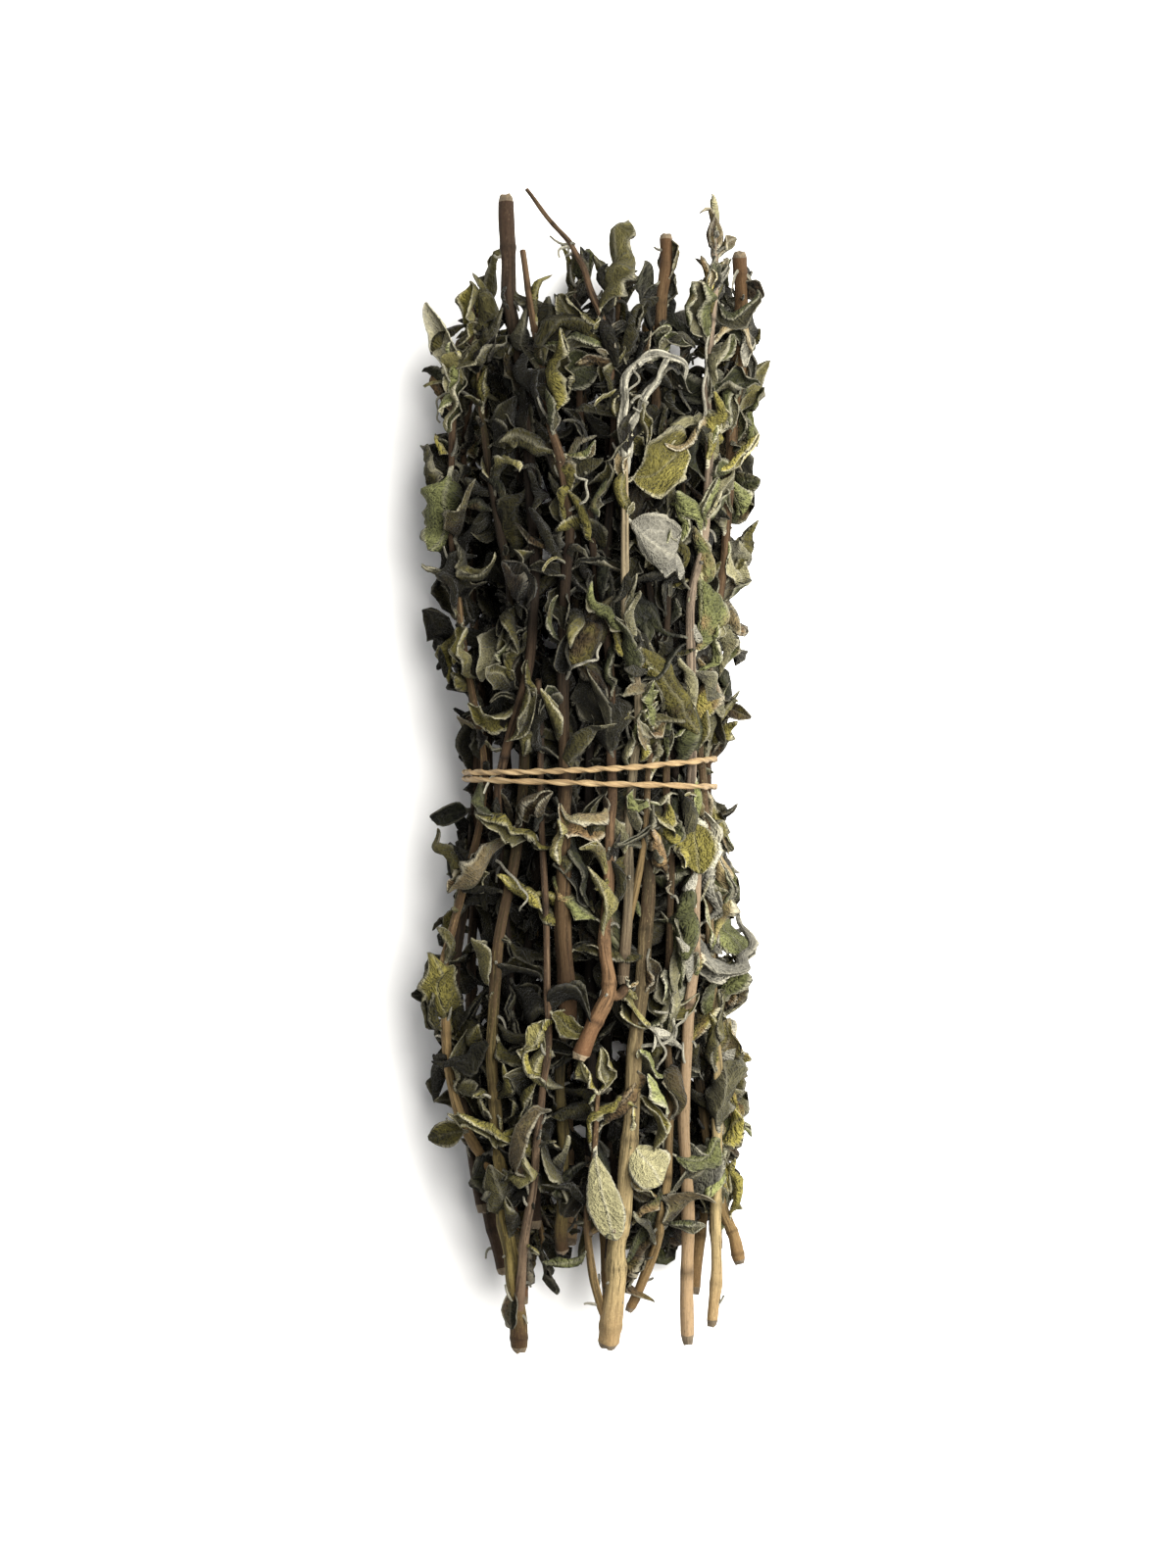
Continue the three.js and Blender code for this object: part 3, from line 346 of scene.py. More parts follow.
# Leaves that stand out of the crowd, by the sprig and the number of the stem that they grow on.
# Angles are in degrees: heading is in the table's plane, from +Y towards +X, pitch is above it, and
# face turns the blade round its own midrib, from facing up. tone and warm are what leaf colours
# are mixed by. The facts after a row are what sets the leaf apart from the plain one of its solid.
SHOW_KEYS = ("at", "heading", "pitch", "face", "length", "width", "bend", "twist", "sway", "roll",
             "tone", "warm")
SHOW_LEAVES = {
    ("sprig_pale", 0): (
        ((0.78, 115, 4, -8, 19, 15, -0.5, 0.2, 0.25, (0.5, 0.6), 0.55, 0.9),
         dict(at=0.705, length=18.5, width=18, heading=84, pitch=10, bend=-0.6, sway=-0.6,
              roll=(0.9, 0.5), twist=0.5, hook=-0.6, smooth=1, buckle=0.6, fade=0.2)),
        ((0.66, 110, 2, 5, 16, 13, -0.3, 0, 0.2, (0.25, 0.3), 0.72, -0.3),
         dict(turned=True, at=0.672, heading=124, length=20.5, width=13.5, pitch=15, bend=-0.45,
              roll=(0.3, 0.8), twist=0.4, hook=-0.5, tone=0.66, smooth=0.9, buckle=1.2)),
        ((0.56, 140, -6, 12, 33, 11, -0.45, 0.35, 0.12, (-1.5, -1.3), 0.35, 0.62),
         dict(roll=(-2.1, -1.9), width=14)),
    ),
    ("sprig_thick", 1): (
        ((0.8, 176, 14, 10, 26, 9, -0.4, 0.1, -0.1, (-0.45, -0.35), 0.85, 0.2),
         dict(turned=True, width=9.6, full=0.5, smooth=0.75)),
    ),
    ("sprig_thick", 0): (
        ((0.23, 42, 34, -6, 15, 11, -0.5, 0.2, 0.1, (-0.4, -0.4), 0.85, 0.2),
         dict(turned=True, at=0.288, heading=128, pitch=42, face=-14, length=14.5, width=12.5,
              bend=-1.1, full=0.3, tone=0.95, smooth=0.75)),
    ),
    ("sprig_right", 0): (
        ((0.42, 180, 38, 0, 16, 12, -0.5, -0.2, -0.1, (0.3, 0.5), 0.7, 0.8), {}),
    ),
    ("sprig_red", 0): (
        ((0.83, 62, 12, -10, 15, 12, -0.5, 0.1, 0.1, (0.35, 0.3), 0.25, 0.2), {}),
    ),
    # painted shade: the small side leaves on sprig_far_left, sprig_left and sprig_upended_right get low
    # tones, dark as if they faced away from the light
    ("sprig_far_left", 0): (
        ((0.76, -14, 30, 20, 24, 12, -0.7, 0.5, -0.1, (0.9, 0.7), 0.6, 0.2),
         dict(at=0.73, heading=-9, pitch=17, length=26, width=12, roll=(2.1, 1.9), twist=0.7, bend=-0.3,
              turned=True, tone=0.9, warm=-0.1)),
        ((0.22, -92, 8, 30, 12.5, 7, 0.3, 0.3, 0, (0.8, 0.8), 0.05, 0.2), {}),
        ((0.355, -98, 10, 20, 11, 8, -0.4, 0.3, 0, (0.7, 0.5), 0.05, 0.3),
         dict(width=8.5, roll=(1.7, 1.3), twist=1.1, buckle=1.3)),
    ),
    ("sprig_left", 1): (
        ((0.11, -95, 12, 15, 11, 8, -0.5, 0.3, 0, (0.7, 0.8), 0.25, 0.7), {}),
    ),
    ("sprig_left", 0): (
        ((0.1, 222, 22, 20, 13, 8, -0.4, 0.4, 0, (1, 0.8), 0.15, 0.4),
         dict(heading=187, pitch=20, length=12, width=7, roll=(1.8, 1.6))),
    ),
    ("sprig_upended_right", 0): (
        ((0.05, 122, 0, 30, 7.4, 6, 0.3, 0.3, 0, (0.6, 0.6), 0.2, 0.5), {}),
        ((0.62, 118, 15, 20, 11.5, 8, -0.4, 0.3, 0, (0.6, 0.7), 0.4, 0.5),
         dict(at=0.64, width=6.5, roll=(1.6, 1.4), tone=0.3)),
    ),
}

# Long bare stalks, on the sprig named: how thick each is, and its course, as a stem's course is.
THREADS = {
    "sprig_pale": [
        (1.45, [(9.2, 76, 0.96), (8.8, 88, 1.04), (9.2, 96.5, 1.1), (11.6, 103.3, 1.14),
                (17.6, 106.1, 1.15)]),
        (1.35, [(9.6, 80, 0.97), (10.6, 87, 1.04), (12.9, 92, 1.09), (15.6, 96.5, 1.12),
                (18.2, 101, 1.14), (19.7, 105, 1.14)]),
        (1.1, [(12, 103, 1.14), (17.2, 106.3, 1.16), (22.4, 104.8, 1.13), (24.8, 101.4, 1.06),
               (23, 97.6, 0.96)]),
        (0.42, [(11.4, 102, 1.17), (12.6, 99.4, 1.18), (10, 96, 1.16), (9.5, 91, 1.12), (8.6, 83, 1.06)]),
        (0.5, [(11.2, 93.4, 1.12), (13, 95.3, 1.15), (14.7, 93.7, 1.14), (13.5, 91.5, 1.13),
               (11.7, 92.2, 1.12)]),
    ],
    "sprig_right": [
        (0.75, [(30.4, 98, 0.94), (30.7, 104, 1.0), (33, 107.2, 1.02), (36.8, 110.6, 0.98)]),
        (0.6, [(30.6, 82, 0.94), (29.4, 92, 0.99), (29.8, 102, 1.0), (30.6, 113, 0.99)]),
        (0.5, [(27, -60, 0.9), (24, -62, 1.04), (22, -66, 1.06), (23.6, -70, 1.0)]),
    ],
    "sprig_thick": [
        (0.65, [(13, -69, 0.88), (18.6, -68.4, 1.0), (22, -64.4, 1.0), (20.6, -60.4, 1.0),
                (16.6, -60, 0.98)]),
        (0.55, [(12.6, -63, 0.88), (16.4, -64.6, 1.02), (19.4, -70.4, 1.04), (17, -75, 0.96)]),
    ],
    "sprig_far_left": [
        (0.5, [(-30, 96, 0.5), (-35.6, 98, 0.56), (-38.6, 94, 0.5), (-37.8, 89.6, 0.4)]),
    ],
    "sprig_left": [
        (0.4, [(-17.6, -143, 0.5), (-20.4, -141, 0.6), (-21.6, -137, 0.6), (-20, -134, 0.62),
               (-18, -136, 0.6)]),
        (0.5, [(-23.5, -22, 0.8), (-19, -26, 0.98), (-15.6, -31, 1.0), (-17.6, -34.6, 0.98)]),
    ],
    "sprig_red": [
        (0.55, [(-5.6, 66, 0.86), (-1, 69, 1.02), (-0.4, 73.6, 1.04), (-3.4, 75.6, 1.0)]),
        (0.6, [(-6, 24, 0.8), (-2.4, 28, 1.0), (1.8, 28.6, 1.04), (3, 33, 1.0)]),
    ],
}

TURNS = (0, 25, -25, 50, -50, 85, -85, 130)
WAYS = [(turn, close, size) for close, size in ((1, 1), (0.6, 1), (0.8, 0.72)) for turn in TURNS]


def show_leaf(show, holder):
    """A leaf of SHOW_LEAVES on its stem."""
    heading, pitch, face = (math.radians(show[key]) for key in ("heading", "pitch", "face"))
    ahead = (math.sin(heading) * math.cos(pitch), math.cos(heading) * math.cos(pitch))
    along = np.array((*ahead, math.sin(pitch)))
    above = unit(UP - along * along[2])
    facing = swung(above, np.cross(along, above), face)
    return Leaf(**{**show, "root": holder.root(show["at"]), "along": along, "face": facing})


# How the leaves of the solids grow: how far round the stem a pair stands from the way out of the
# bunch, every other one further, how many leaves hang towards the cut end, how far those are opened
# from the stem and how far the others, and their lengths and widths.
PAIR_SPREADS = (84, 42)
HANGING = 0.3
HUNG, LIFTED = (120, 156), (18, 56)
LEAF_LENGTHS, LEAF_WIDTHS = (13, 27), (0.42, 0.6)
ROLLED_BACK = 0.6  # how many leaves, of either kind, are rolled towards their back


def near_tip(share):
    """0 up to where a stem's leaves start to get smaller, and 1 at its tip."""
    return max(0.0, (share - 0.7) / 0.3)


def leaf_ways(holder, seed):
    """The leaves of one stem, in opposite pairs, each as the list of ways that it may lie. They are
    drawn in the order in which the solids' leaves are."""
    if not holder.leaves:
        return
    draw = stream(seed)
    first, last, pairs = holder.leaves
    for k in range(2 * pairs):
        pair = k // 2
        share = between(first, last, pair / (pairs - 1) if pairs > 1 else 1)
        along, up, across = holder.axes(share)
        spread = PAIR_SPREADS[pair % 2] * (1 if k % 2 else -1) + draw(-22, 22)
        turn = holder.open_turn(share) + math.radians(spread)
        hangs = draw() < HANGING
        lift = draw(*HUNG) if hangs else draw(*LIFTED)
        facts = {"bend": draw(-1.5, 1.4), "twist": draw(-1.7, 1.7)}
        under = -1 if draw() < ROLLED_BACK else 1
        rolled = draw(0.6, 2.5)
        uneven = draw(0.6, 1.3)
        length = draw(*LEAF_LENGTHS) * (1 - 0.35 * near_tip(share))
        width = length * draw(*LEAF_WIDTHS)
        facts["sway"] = draw(-0.18, 0.18)
        facts["wave"] = draw(0.3, 1.3)
        facts["phase"] = draw(0, 6)
        facts["roll"] = (under * rolled, under * rolled * uneven)
        ways = []
        for way_turn, close, size in WAYS:
            angle = turn + math.radians(way_turn)
            open_by = math.radians(180 - (180 - lift) * close if hangs else lift * close)
            out = swung(up, across, angle)
            ways.append(Leaf(
                root=holder.root(share),
                along=swung(along, out, open_by),
                face=swung(-out, along, open_by),
                length=length * size,
                width=width * size,
                axis=along,
                **facts,
            ))
        yield ways


def outline_at(share, full=0.0):
    """Half-width of a leaf, as a share of its widest: a stalk, then an oblong blade. full makes the
    blade blunter and moves its widest place towards the tip."""
    q = np.clip((share - PETIOLE) / (1 - PETIOLE), 0, 1)
    return np.maximum(0, np.sin(np.pi * q ** (0.9 + full))) ** (0.75 - 0.4 * full)


def leaf_points(leaf, share, side, widen=1.0, puff=0.0):
    """Points of a leaf's middle surface, a row for each share along the midrib and a column for each
    side, from -1 at one rim to 1 at the other. widen scales the half-width and puff stands the
    surface off towards the leaf's face, and both may differ from point to point."""
    u, v = share[:, None, None], side[None, :, None]
    widen, puff = np.asarray(widen)[..., None], np.asarray(puff)[..., None]
    bend = (leaf.bend + leaf.hook * u * u) * u
    level = np.abs(bend) < 1e-4
    safe = np.where(level, 1.0, bend)
    reach = leaf.length * u
    edge = np.cross(leaf.along, leaf.face)
    point = leaf.root + leaf.along * reach * np.where(level, 1, np.sin(safe) / safe)
    point = point + leaf.face * reach * np.where(level, bend / 2, (1 - np.cos(safe)) / safe)
    point = point + edge * leaf.sway * reach * u
    face = swung(leaf.face, -leaf.along, bend)
    twist = leaf.twist * u
    out, off = swung(edge, face, twist), swung(face, -edge, twist)
    spread = outline_at(u, leaf.full)
    half = np.maximum(leaf.stalk, leaf.width / 2 * spread) * widen
    roll = np.where(v > 0, leaf.roll[1] or 0.01, leaf.roll[0] or 0.01)
    curl = roll * np.abs(v)
    ripple = leaf.wave * spread * v * v * np.sin(2 * np.pi * WAVES * u + leaf.phase * (v + 2))
    point = point + out * np.sign(v) * (half * np.sin(curl) / roll - puff * np.sin(curl))
    return point + off * (half * (1 - np.cos(curl)) / roll + ripple + puff * np.cos(curl))


def spots_of(leaf, *shares):
    """Points on a leaf's rims and midrib at some shares of its length."""
    return leaf_points(leaf, np.array(shares), np.array((-1.0, 0.0, 1.0))).reshape(-1, 3)


def tip_of(leaf):
    """The tip of a leaf, kept off the table."""
    tip = leaf_points(leaf, np.array([1.0]), np.array([0.0]))[0, 0]
    tip[2] = max(LOWEST_TIP, tip[2])
    return tip


def way_taken(ways, tips):
    """Which way a leaf of the solids lies, told by where its tip is. None if the leaf isn't there."""
    for way in ways:
        if tips.find(tip_of(way) * MM)[2] < TIP_MATCH:
            return way
    return None


# Between the tips and between the butts the bunch is open: x from and to, y from and to.
OPENINGS = (
    (-48, -23, 116, 150),
    (-17.5, -9.5, 116, 150),
    (22.5, 27.5, 106, 150),
    (-48, -22, -150, -124),
    (-14, -3, -150, -127),
    (8, 22, -150, -123),
    (28, 48, -150, -132),
)


def keeps_in(leaf):
    """Whether a leaf stays in the bunch's box, off the table, out of the openings between its ends
    and out of the way of the tie."""
    points = spots_of(leaf, 0.35, 0.7, 1.0)
    for left, right, low, high in OPENINGS:
        held = (points[:, 0] > left) & (points[:, 0] < right)
        if np.any(held & (points[:, 1] > low) & (points[:, 1] < high)):
            return False
    for point in (leaf.root, *points):
        if abs(point[0]) > HALF_WIDTH - 1 or abs(point[1]) > HALF_LENGTH or point[2] < -2:
            return False
        if proud_of(point) > PROUD:
            return False
    past_tie = points[np.abs(points[:, 1]) < NECK]
    crosses = points[:, 1].min() < 0 < points[:, 1].max()
    return not crosses and all(proud_of(point) < -NECK for point in past_tie)


# ---- meshes ---------------------------------------------------------------------------------------

UPPER, FELT, CUT, BARK = range(4)  # the numbers of a sprig's materials; BARK is its first stem's

# What each point of a mesh says: on a leaf how pale it is, with painted shade deep in the bunch, how warm
# and how near a rim it is, and on a stem how far along, how much painted shade it has deep in the bunch and
# how near a joint.
MARKS = ("tone", "warm", "rim")


class Shell:
    """The surface of one piece while it is made: its points, what the materials read at each, and
    its faces with the number of the material that they wear."""

    def __init__(self):
        self.points = []
        self.grain = []
        self.marks = []
        self.faces = []
        self.count = 0

    def add(self, points, grain, marks, faces):
        """grain is a place in the pattern of the surface. marks is (tone, warm, rim) for each point,
        and faces is a list of (rows of corners, material number)."""
        points = np.asarray(points, float).reshape(-1, 3)
        total = len(points)
        self.points.append(points)
        self.grain.append(np.asarray(grain, float).reshape(-1, 3))
        columns = [np.broadcast_to(np.asarray(mark, float), (total,)) for mark in marks]
        self.marks.append(np.stack(columns, 1))
        self.faces += [(rows + self.count, number) for rows, number in faces]
        self.count += total

    def piece(self, name, node, slot, materials):
        """Makes the mesh, as the piece that stands for one solid."""
        mesh = bpy.data.meshes.new(name)
        points = np.concatenate(self.points) * MM
        corners = np.concatenate([rows.ravel() for rows, _ in self.faces])
        sizes = np.concatenate([np.full(len(rows), rows.shape[1]) for rows, _ in self.faces])
        worn = np.concatenate([np.full(len(rows), number) for rows, number in self.faces])
        starts = np.cumsum(sizes) - sizes
        mesh.vertices.add(len(points))
        mesh.vertices.foreach_set("co", points.astype(np.float32).ravel())
        mesh.loops.add(len(corners))
        mesh.loops.foreach_set("vertex_index", corners.astype(np.int32))
        mesh.polygons.add(len(sizes))
        mesh.polygons.foreach_set("loop_start", starts.astype(np.int32))
        mesh.polygons.foreach_set("material_index", worn.astype(np.int32))
        mesh.polygons.foreach_set("use_smooth", worn != CUT)
        mesh.update(calc_edges=True)
        grain = mesh.attributes.new("grain", "FLOAT_VECTOR", "POINT")
        grain.data.foreach_set("vector", np.concatenate(self.grain).astype(np.float32).ravel())
        marks = np.concatenate(self.marks).astype(np.float32)
        for column, key in enumerate(MARKS):
            mark = mesh.attributes.new(key, "FLOAT", "POINT")
            mark.data.foreach_set("value", np.ascontiguousarray(marks[:, column]))
        for material in materials:
            mesh.materials.append(material)
        piece = bpy.data.objects.new(name, mesh)
        bpy.context.scene.collection.objects.link(piece)
        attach(piece, "root")
        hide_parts(node)
        return piece


def quads(grid):
    """The corners of the faces between neighbouring points of a grid."""
    rows = (grid[:-1, :-1], grid[:-1, 1:], grid[1:, 1:], grid[1:, :-1])
    return np.stack(rows, -1).reshape(-1, 4)


# Where a leaf has its columns of points, from one rim to the other: a fine, a plain and a hidden one.
FINE_SIDES = np.array((-1, -0.86, -0.56, -0.26, 0, 0.26, 0.56, 0.86, 1.0))
PLAIN_SIDES = np.array((-1, -0.84, -0.42, 0, 0.42, 0.84, 1.0))
HIDDEN_SIDES = np.array((-1, -0.6, 0, 0.6, 1.0))
VEIN_STEP, VEIN_SLANT = 3.1, 0.9  # from one side vein to the next, and how far they slant
BUCKLES, BUCKLING = 3, 0.62  # how many slow waves buckle a leaf, and how far
QUILTING = 0.5  # how far a leaf stands off between its veins
BLADE = 0.19  # half of a blade's thickness
RIDGE = 0.5  # how far the midrib stands out of the back
SCALLOP = 2.3  # from one notch of a rim to the next
ROLLED_SHARE = 0.8  # of the big leaves
SHOWN_CRINKLE = 0.45
END_PROUD = 4  # how far out of the bunch a hooked tip or a stub may end


def dried(leaf, axis, draw):
    """The leaf as it dried: pressed to its stem, narrower than it grew, and most often rolled up
    along its length."""
    press = draw(0.3, 1.1) * math.copysign(1, leaf.along @ axis)
    leaf.along = unit(leaf.along + press * axis)
    leaf.face = unit(leaf.face - leaf.along * (leaf.face @ leaf.along))
    rolled = draw(2.1, 3.9) if draw() < ROLLED_SHARE else draw(0.6, 1.7)
    under = math.copysign(1, leaf.roll[0])
    leaf.roll = (under * rolled, under * rolled * draw(0.6, 1.2))
    leaf.twist *= draw(1, 1.8)
    leaf.bend += draw(-0.8, 0.8)
    leaf.width *= draw(0.9, 1.3)
    leaf.sway += draw(-0.15, 0.15)
    leaf.turned = draw() < 0.4
    leaf.hook = draw(-1.7, 1.7)
    if proud_of(tip_of(leaf)) > END_PROUD:
        leaf.hook = 0.0
    return leaf


# Where leaves are paler or darker, warmer or greyer, than elsewhere: x, y, reach, how much paler and how
# much warmer.
PATCHES = (
    (32, 122, 18, 0.12, -0.35),
    (18, 101, 9, 0.20, -0.30),
    (0, 100, 26, -0.22, 0.15),
    (8, 118, 14, -0.15, 0.20),
    (4, 40, 26, -0.16, 0.05),
    (-18, -60, 30, 0.03, 0.78),
    (-12, 62, 34, 0.0, 0.22),
    (-5, -123, 9, -0.45, 0.10),
    (26, 62, 20, -0.10, 0.05),
    (-14, 32, 22, -0.08, -0.10),
    (-34, 100, 14, 0.26, -0.25),
    (9, -98, 20, 0.20, -0.05),
    (24, -12, 14, 0.10, 0.08),
    (27, -72, 20, 0.22, -0.10),
    (30, -50, 28, 0.23, -0.25),
    (-21, -22, 9, -0.50, 0.20),
    (-35, 80, 9, 0.10, -0.50),
    (-28, 72, 22, 0.36, -0.10),
    (30, 39, 9, 0.0, -0.50),
)


SHADE_FREE_DEPTH, FULL_SHADE_SPAN = 0.15, 4.8  # how deep into the bunch there is no painted shade, and how much deeper the painted shade is full
UNDER_PAINTED_SHADE = 0.7  # how much painted shade there is underneath
SHADE_END_FADE = 55  # how far from its ends the painted shade thins out, as if light got in there


def painted_shade_at(points):
    """How much painted shade each point of the bunch gets, from 0 on its face to 1 in its heart and under
    it.
    """
    x, y, z = np.moveaxis(points, -1, 0)
    stations = [row[0] for row in GIRTH]
    middle, half_width, half_height, underside = (
        np.interp(y, stations, [row[k] for row in GIRTH]) for k in range(1, 5)
    )
    above = (z - underside - half_height) / half_height
    inside = (1 - np.hypot((x - middle) / half_width, above)) * np.minimum(half_width, half_height)
    within = np.clip((inside - SHADE_FREE_DEPTH) / FULL_SHADE_SPAN, 0, 1)
    below = UNDER_PAINTED_SHADE * np.clip(0.3 - above, 0, 1)
    return np.maximum(within, below) * np.clip((HALF_LENGTH + 10 - np.abs(y)) / SHADE_END_FADE, 0.25, 1)


def colour_marks(leaf, draw):
    """How pale and how warm a leaf is. Its tone is paler towards the right, partly painted light from the
    key light there.
    """
    x, y, _ = leaf.root
    # partly painted light: tone rises towards the right, where the key light is, and falls towards the
    # left; the rest is the leaves' own colour
    tone = 0.94 * draw() - 0.08 + 0.2 * np.clip(x / 30, -1, 1)
    warm = 0.07 + draw() + 0.18 * np.clip(-x / 25, -1, 1)
    for at_x, at_y, reach, paler, warmer in PATCHES:
        near = math.exp(-((x - at_x) ** 2 + (y - at_y) ** 2) / reach**2)
        tone, warm = tone + paler * near, warm + warmer * near
    return getattr(leaf, "tone", tone), getattr(leaf, "warm", warm)


def buckled(points, share, draw, depth):
    """Points pushed about by slow waves, more the further that they are from the leaf's root."""
    moved = points.copy()
    for _ in range(BUCKLES):
        wave = unit(np.array([draw() - 0.5 for _ in range(3)])) * 2 * np.pi / draw(6, 13)
        push = unit(np.array([draw() - 0.5 for _ in range(3)])) * depth
        swing = np.sin(points @ wave + 6 * draw()) * np.minimum(1, share * 2.5)
        moved += push * swing[..., None]
    return moved


def two_sided(front, back):
    """What belongs to the points of a leaf's front, then to those of its back inside its rim."""
    inner = back[1:-1, 1:-1]
    return np.concatenate([side.reshape(-1, *side.shape[2:]) for side in (front, inner)])


def blade_shares(length, columns):
    """The shares of a leaf's length at which it has points: three on the stalk, and on the blade
    more the longer it is and the more columns of points it has."""
    per_mm = 0.35 + 0.07 * columns
    blade = np.linspace(0, 1, int(np.clip(length * per_mm, 7, 26)))
    blade = PETIOLE + (1 - PETIOLE) * between(blade, 0.5 - 0.5 * np.cos(np.pi * blade), 0.35)
    return np.concatenate((np.linspace(0, PETIOLE, 4)[:-1], blade))


def relief_of(leaf, u, v, half, crinkle, draw):
    """How much wider each place of a leaf is, and how far it stands off: quilted between the side
    veins, waved and crinkled towards the rims, and scalloped along them."""
    rim = np.abs(v)
    spread = outline_at(u, leaf.full)
    waves = [2 * np.pi * draw() for _ in range(4)]
    order = (leaf.length * u - VEIN_SLANT * half * rim) / VEIN_STEP
    quilt = QUILTING * (1 - leaf.smooth)
    quilt = quilt * np.abs(np.sin(np.pi * order)) ** 0.7 * np.minimum(1, rim / 0.3) * (1.15 - rim)
    turns = 2 * np.pi * u
    slow = 0.5 * np.sin(1.3 * turns + 2.2 * v + waves[0]) * rim
    slow = slow + 0.38 * np.sin(2.7 * turns - 3.8 * v + waves[1]) * rim**1.5
    quick = 0.62 * np.sin(turns * leaf.length / draw(4.2, 7) + 1.2 * v + waves[2])
    puff = spread * (quilt + crinkle * leaf.width / 12 * (slow + quick * rim**3))
    scallops = np.abs(np.sin(np.pi * leaf.length * u / SCALLOP + waves[3])) - 0.5
    return 1 + 0.2 / half * spread * scallops * rim**3, puff


def add_leaf(shell, leaf, seed, side, crinkle):
    """A leaf as a closed blade with a stalk and a ridge along the back of its midrib. side is where
    its columns of points are, from one rim to the other."""
    draw = stream(seed)
    share = blade_shares(leaf.length, len(side))
    u, v = share[:, None], side[None, :]
    rim = np.abs(v)
    half = np.maximum(leaf.stalk, leaf.width / 2 * outline_at(u, leaf.full))
    widen, puff = relief_of(leaf, u, v, half, crinkle, draw)
    middle = leaf_points(leaf, share, side, widen, puff)
    buckle = getattr(leaf, "buckle", BUCKLING * crinkle)
    middle = buckled(middle, u, draw, buckle * min(1.4, leaf.length / 15))
    middle[..., 2] = np.maximum(LOWEST_MIDDLE, middle[..., 2])
    normal = np.cross(np.gradient(middle, axis=1), np.gradient(middle, axis=0))
    normal /= np.maximum(1e-9, np.linalg.norm(normal, axis=-1, keepdims=True))
    stalk = np.clip((PETIOLE + 0.05 - u) / 0.05, 0, 1)
    inside = ((rim < 1) & (u > 0) & (u < 1)) * 1.0
    thick = inside * between(BLADE, 0.75 * leaf.stalk, stalk)
    ridge = inside * (1 - stalk) * (1 - 0.7 * u) * RIDGE * np.exp(-((rim * half / RIDGE) ** 2))
    front = middle + normal * thick[..., None]
    back = middle - normal * (thick + ridge)[..., None]
    for surface in (front, back):
        surface[..., 2] = np.maximum(0, surface[..., 2])
    rows, columns = grid = (len(share), len(side))
    front_grid = np.arange(rows * columns).reshape(grid)
    back_grid = front_grid.copy()
    inner = (rows - 2, columns - 2)
    back_grid[1:-1, 1:-1] = rows * columns + np.arange(inner[0] * inner[1]).reshape(inner)
    pattern = np.float64(seed % 997) * 7.3
    grain = np.stack(np.broadcast_arrays(leaf.length * u, half * v, pattern), axis=-1)
    edge = np.maximum(np.maximum(rim, stalk), np.clip((u - 0.93) / 0.07, 0, 1))
    grain, edge, sides = (
        two_sided(values, values)
        for values in (grain, np.broadcast_to(edge, grid), np.broadcast_to(v, grid))
    )
    points = two_sided(front, back)
    worn = (FELT, UPPER) if leaf.turned else (UPPER, FELT)
    faces = [(quads(front_grid), worn[0]), (quads(back_grid)[:, ::-1], worn[1])]
    tone, warm = colour_marks(leaf, draw)
    # painted shade: the leaf's tone is darkened the deeper it lies in the bunch and under it
    tone = (tone + leaf.fade * sides) * (1 - 0.96 * painted_shade_at(points))
    shell.add(points, grain, (tone, warm, edge), faces)


def round_turns(sides):
    """The turns at which a tube with that many sides has its corners."""
    return np.arange(sides) / sides * 2 * np.pi


def round_grain(radius, turn, place):
    """The pattern of a round thing: its thickness, both ways across it, and the place along it."""
    out = radius[:, None]
    return np.stack(np.broadcast_arrays(out * np.cos(turn), out * np.sin(turn), place[:, None]), -1)


def add_tube(shell, centre, radius, profile, frame_up, grain, marks, worn, cap=None):
    """A tube through the rows of centre, closed at both ends. profile is the radius of each corner
    as a share. cap is the material number of the first end, if it isn't the tube's own."""
    rows, sides = profile.shape
    along = unit(np.gradient(centre, axis=0))
    up = unit(frame_up - along * np.sum(frame_up * along, axis=1, keepdims=True))
    across = np.cross(along, up)
    turn = round_turns(sides)
    ring = swung(up[:, None], across[:, None], turn[None, :, None])
    skin = centre[:, None] + ring * (radius[:, None] * profile)[..., None]
    if cap is not None:
        ragged = np.sin(turn * 3 + 40 * radius[0]) + 0.7 * np.sin(turn * 5 + 90 * radius[0])
        skin[0] -= along[0] * (0.22 * radius[0] * ragged)[:, None]
    skin[..., 2] = np.maximum(0, skin[..., 2])
    grid = np.arange(rows * sides).reshape(rows, sides)
    looped = np.concatenate((grid, grid[:, :1]), axis=1)
    caps = np.array((rows * sides, rows * sides + 1))
    ends = [
        np.stack((np.full(sides, caps[0]), looped[0, 1:], looped[0, :-1]), 1),
        np.stack((np.full(sides, caps[1]), looped[-1, :-1], looped[-1, 1:]), 1),
    ]
    tips = centre[[0, -1]] - along[[0, -1]] * radius[[0, -1], None] * np.array(((0.3,), (-0.3,)))
    points = np.concatenate((skin.reshape(-1, 3), tips))
    grain = np.concatenate((grain.reshape(-1, 3), grain[[0, -1]].mean(axis=1)))
    around = [np.broadcast_to(mark.reshape(rows, -1), (rows, sides)) for mark in marks]
    around = [np.concatenate((mark.ravel(), mark[[0, -1], 0])) for mark in around]
    first = worn if cap is None else cap
    faces = [
        (quads(looped[:2])[:, ::-1], first), (quads(looped[1:])[:, ::-1], worn),
        (ends[0], first), (ends[1], worn),
    ]
    shell.add(points, grain, around, faces)


STEM_SIDES, STRAND_SIDES = 12, 14
STEM_SHADE_END_FADE = 75  # how far from its ends the painted shade on the stems in the bunch thins out

# The seeds of a stem's stubs, small leaves and tucked leaves, counted from its own seed, and those
# of its leaves' drying, shown leaves, small leaves and tucked leaves from a hundred times it.
STUB_SEED, LOOSE_SEED, TUCKED_SEED = 77, 500, 700
DRYING, SHOWN, LOOSE, TUCKED = 50, 90, 5000, 8000


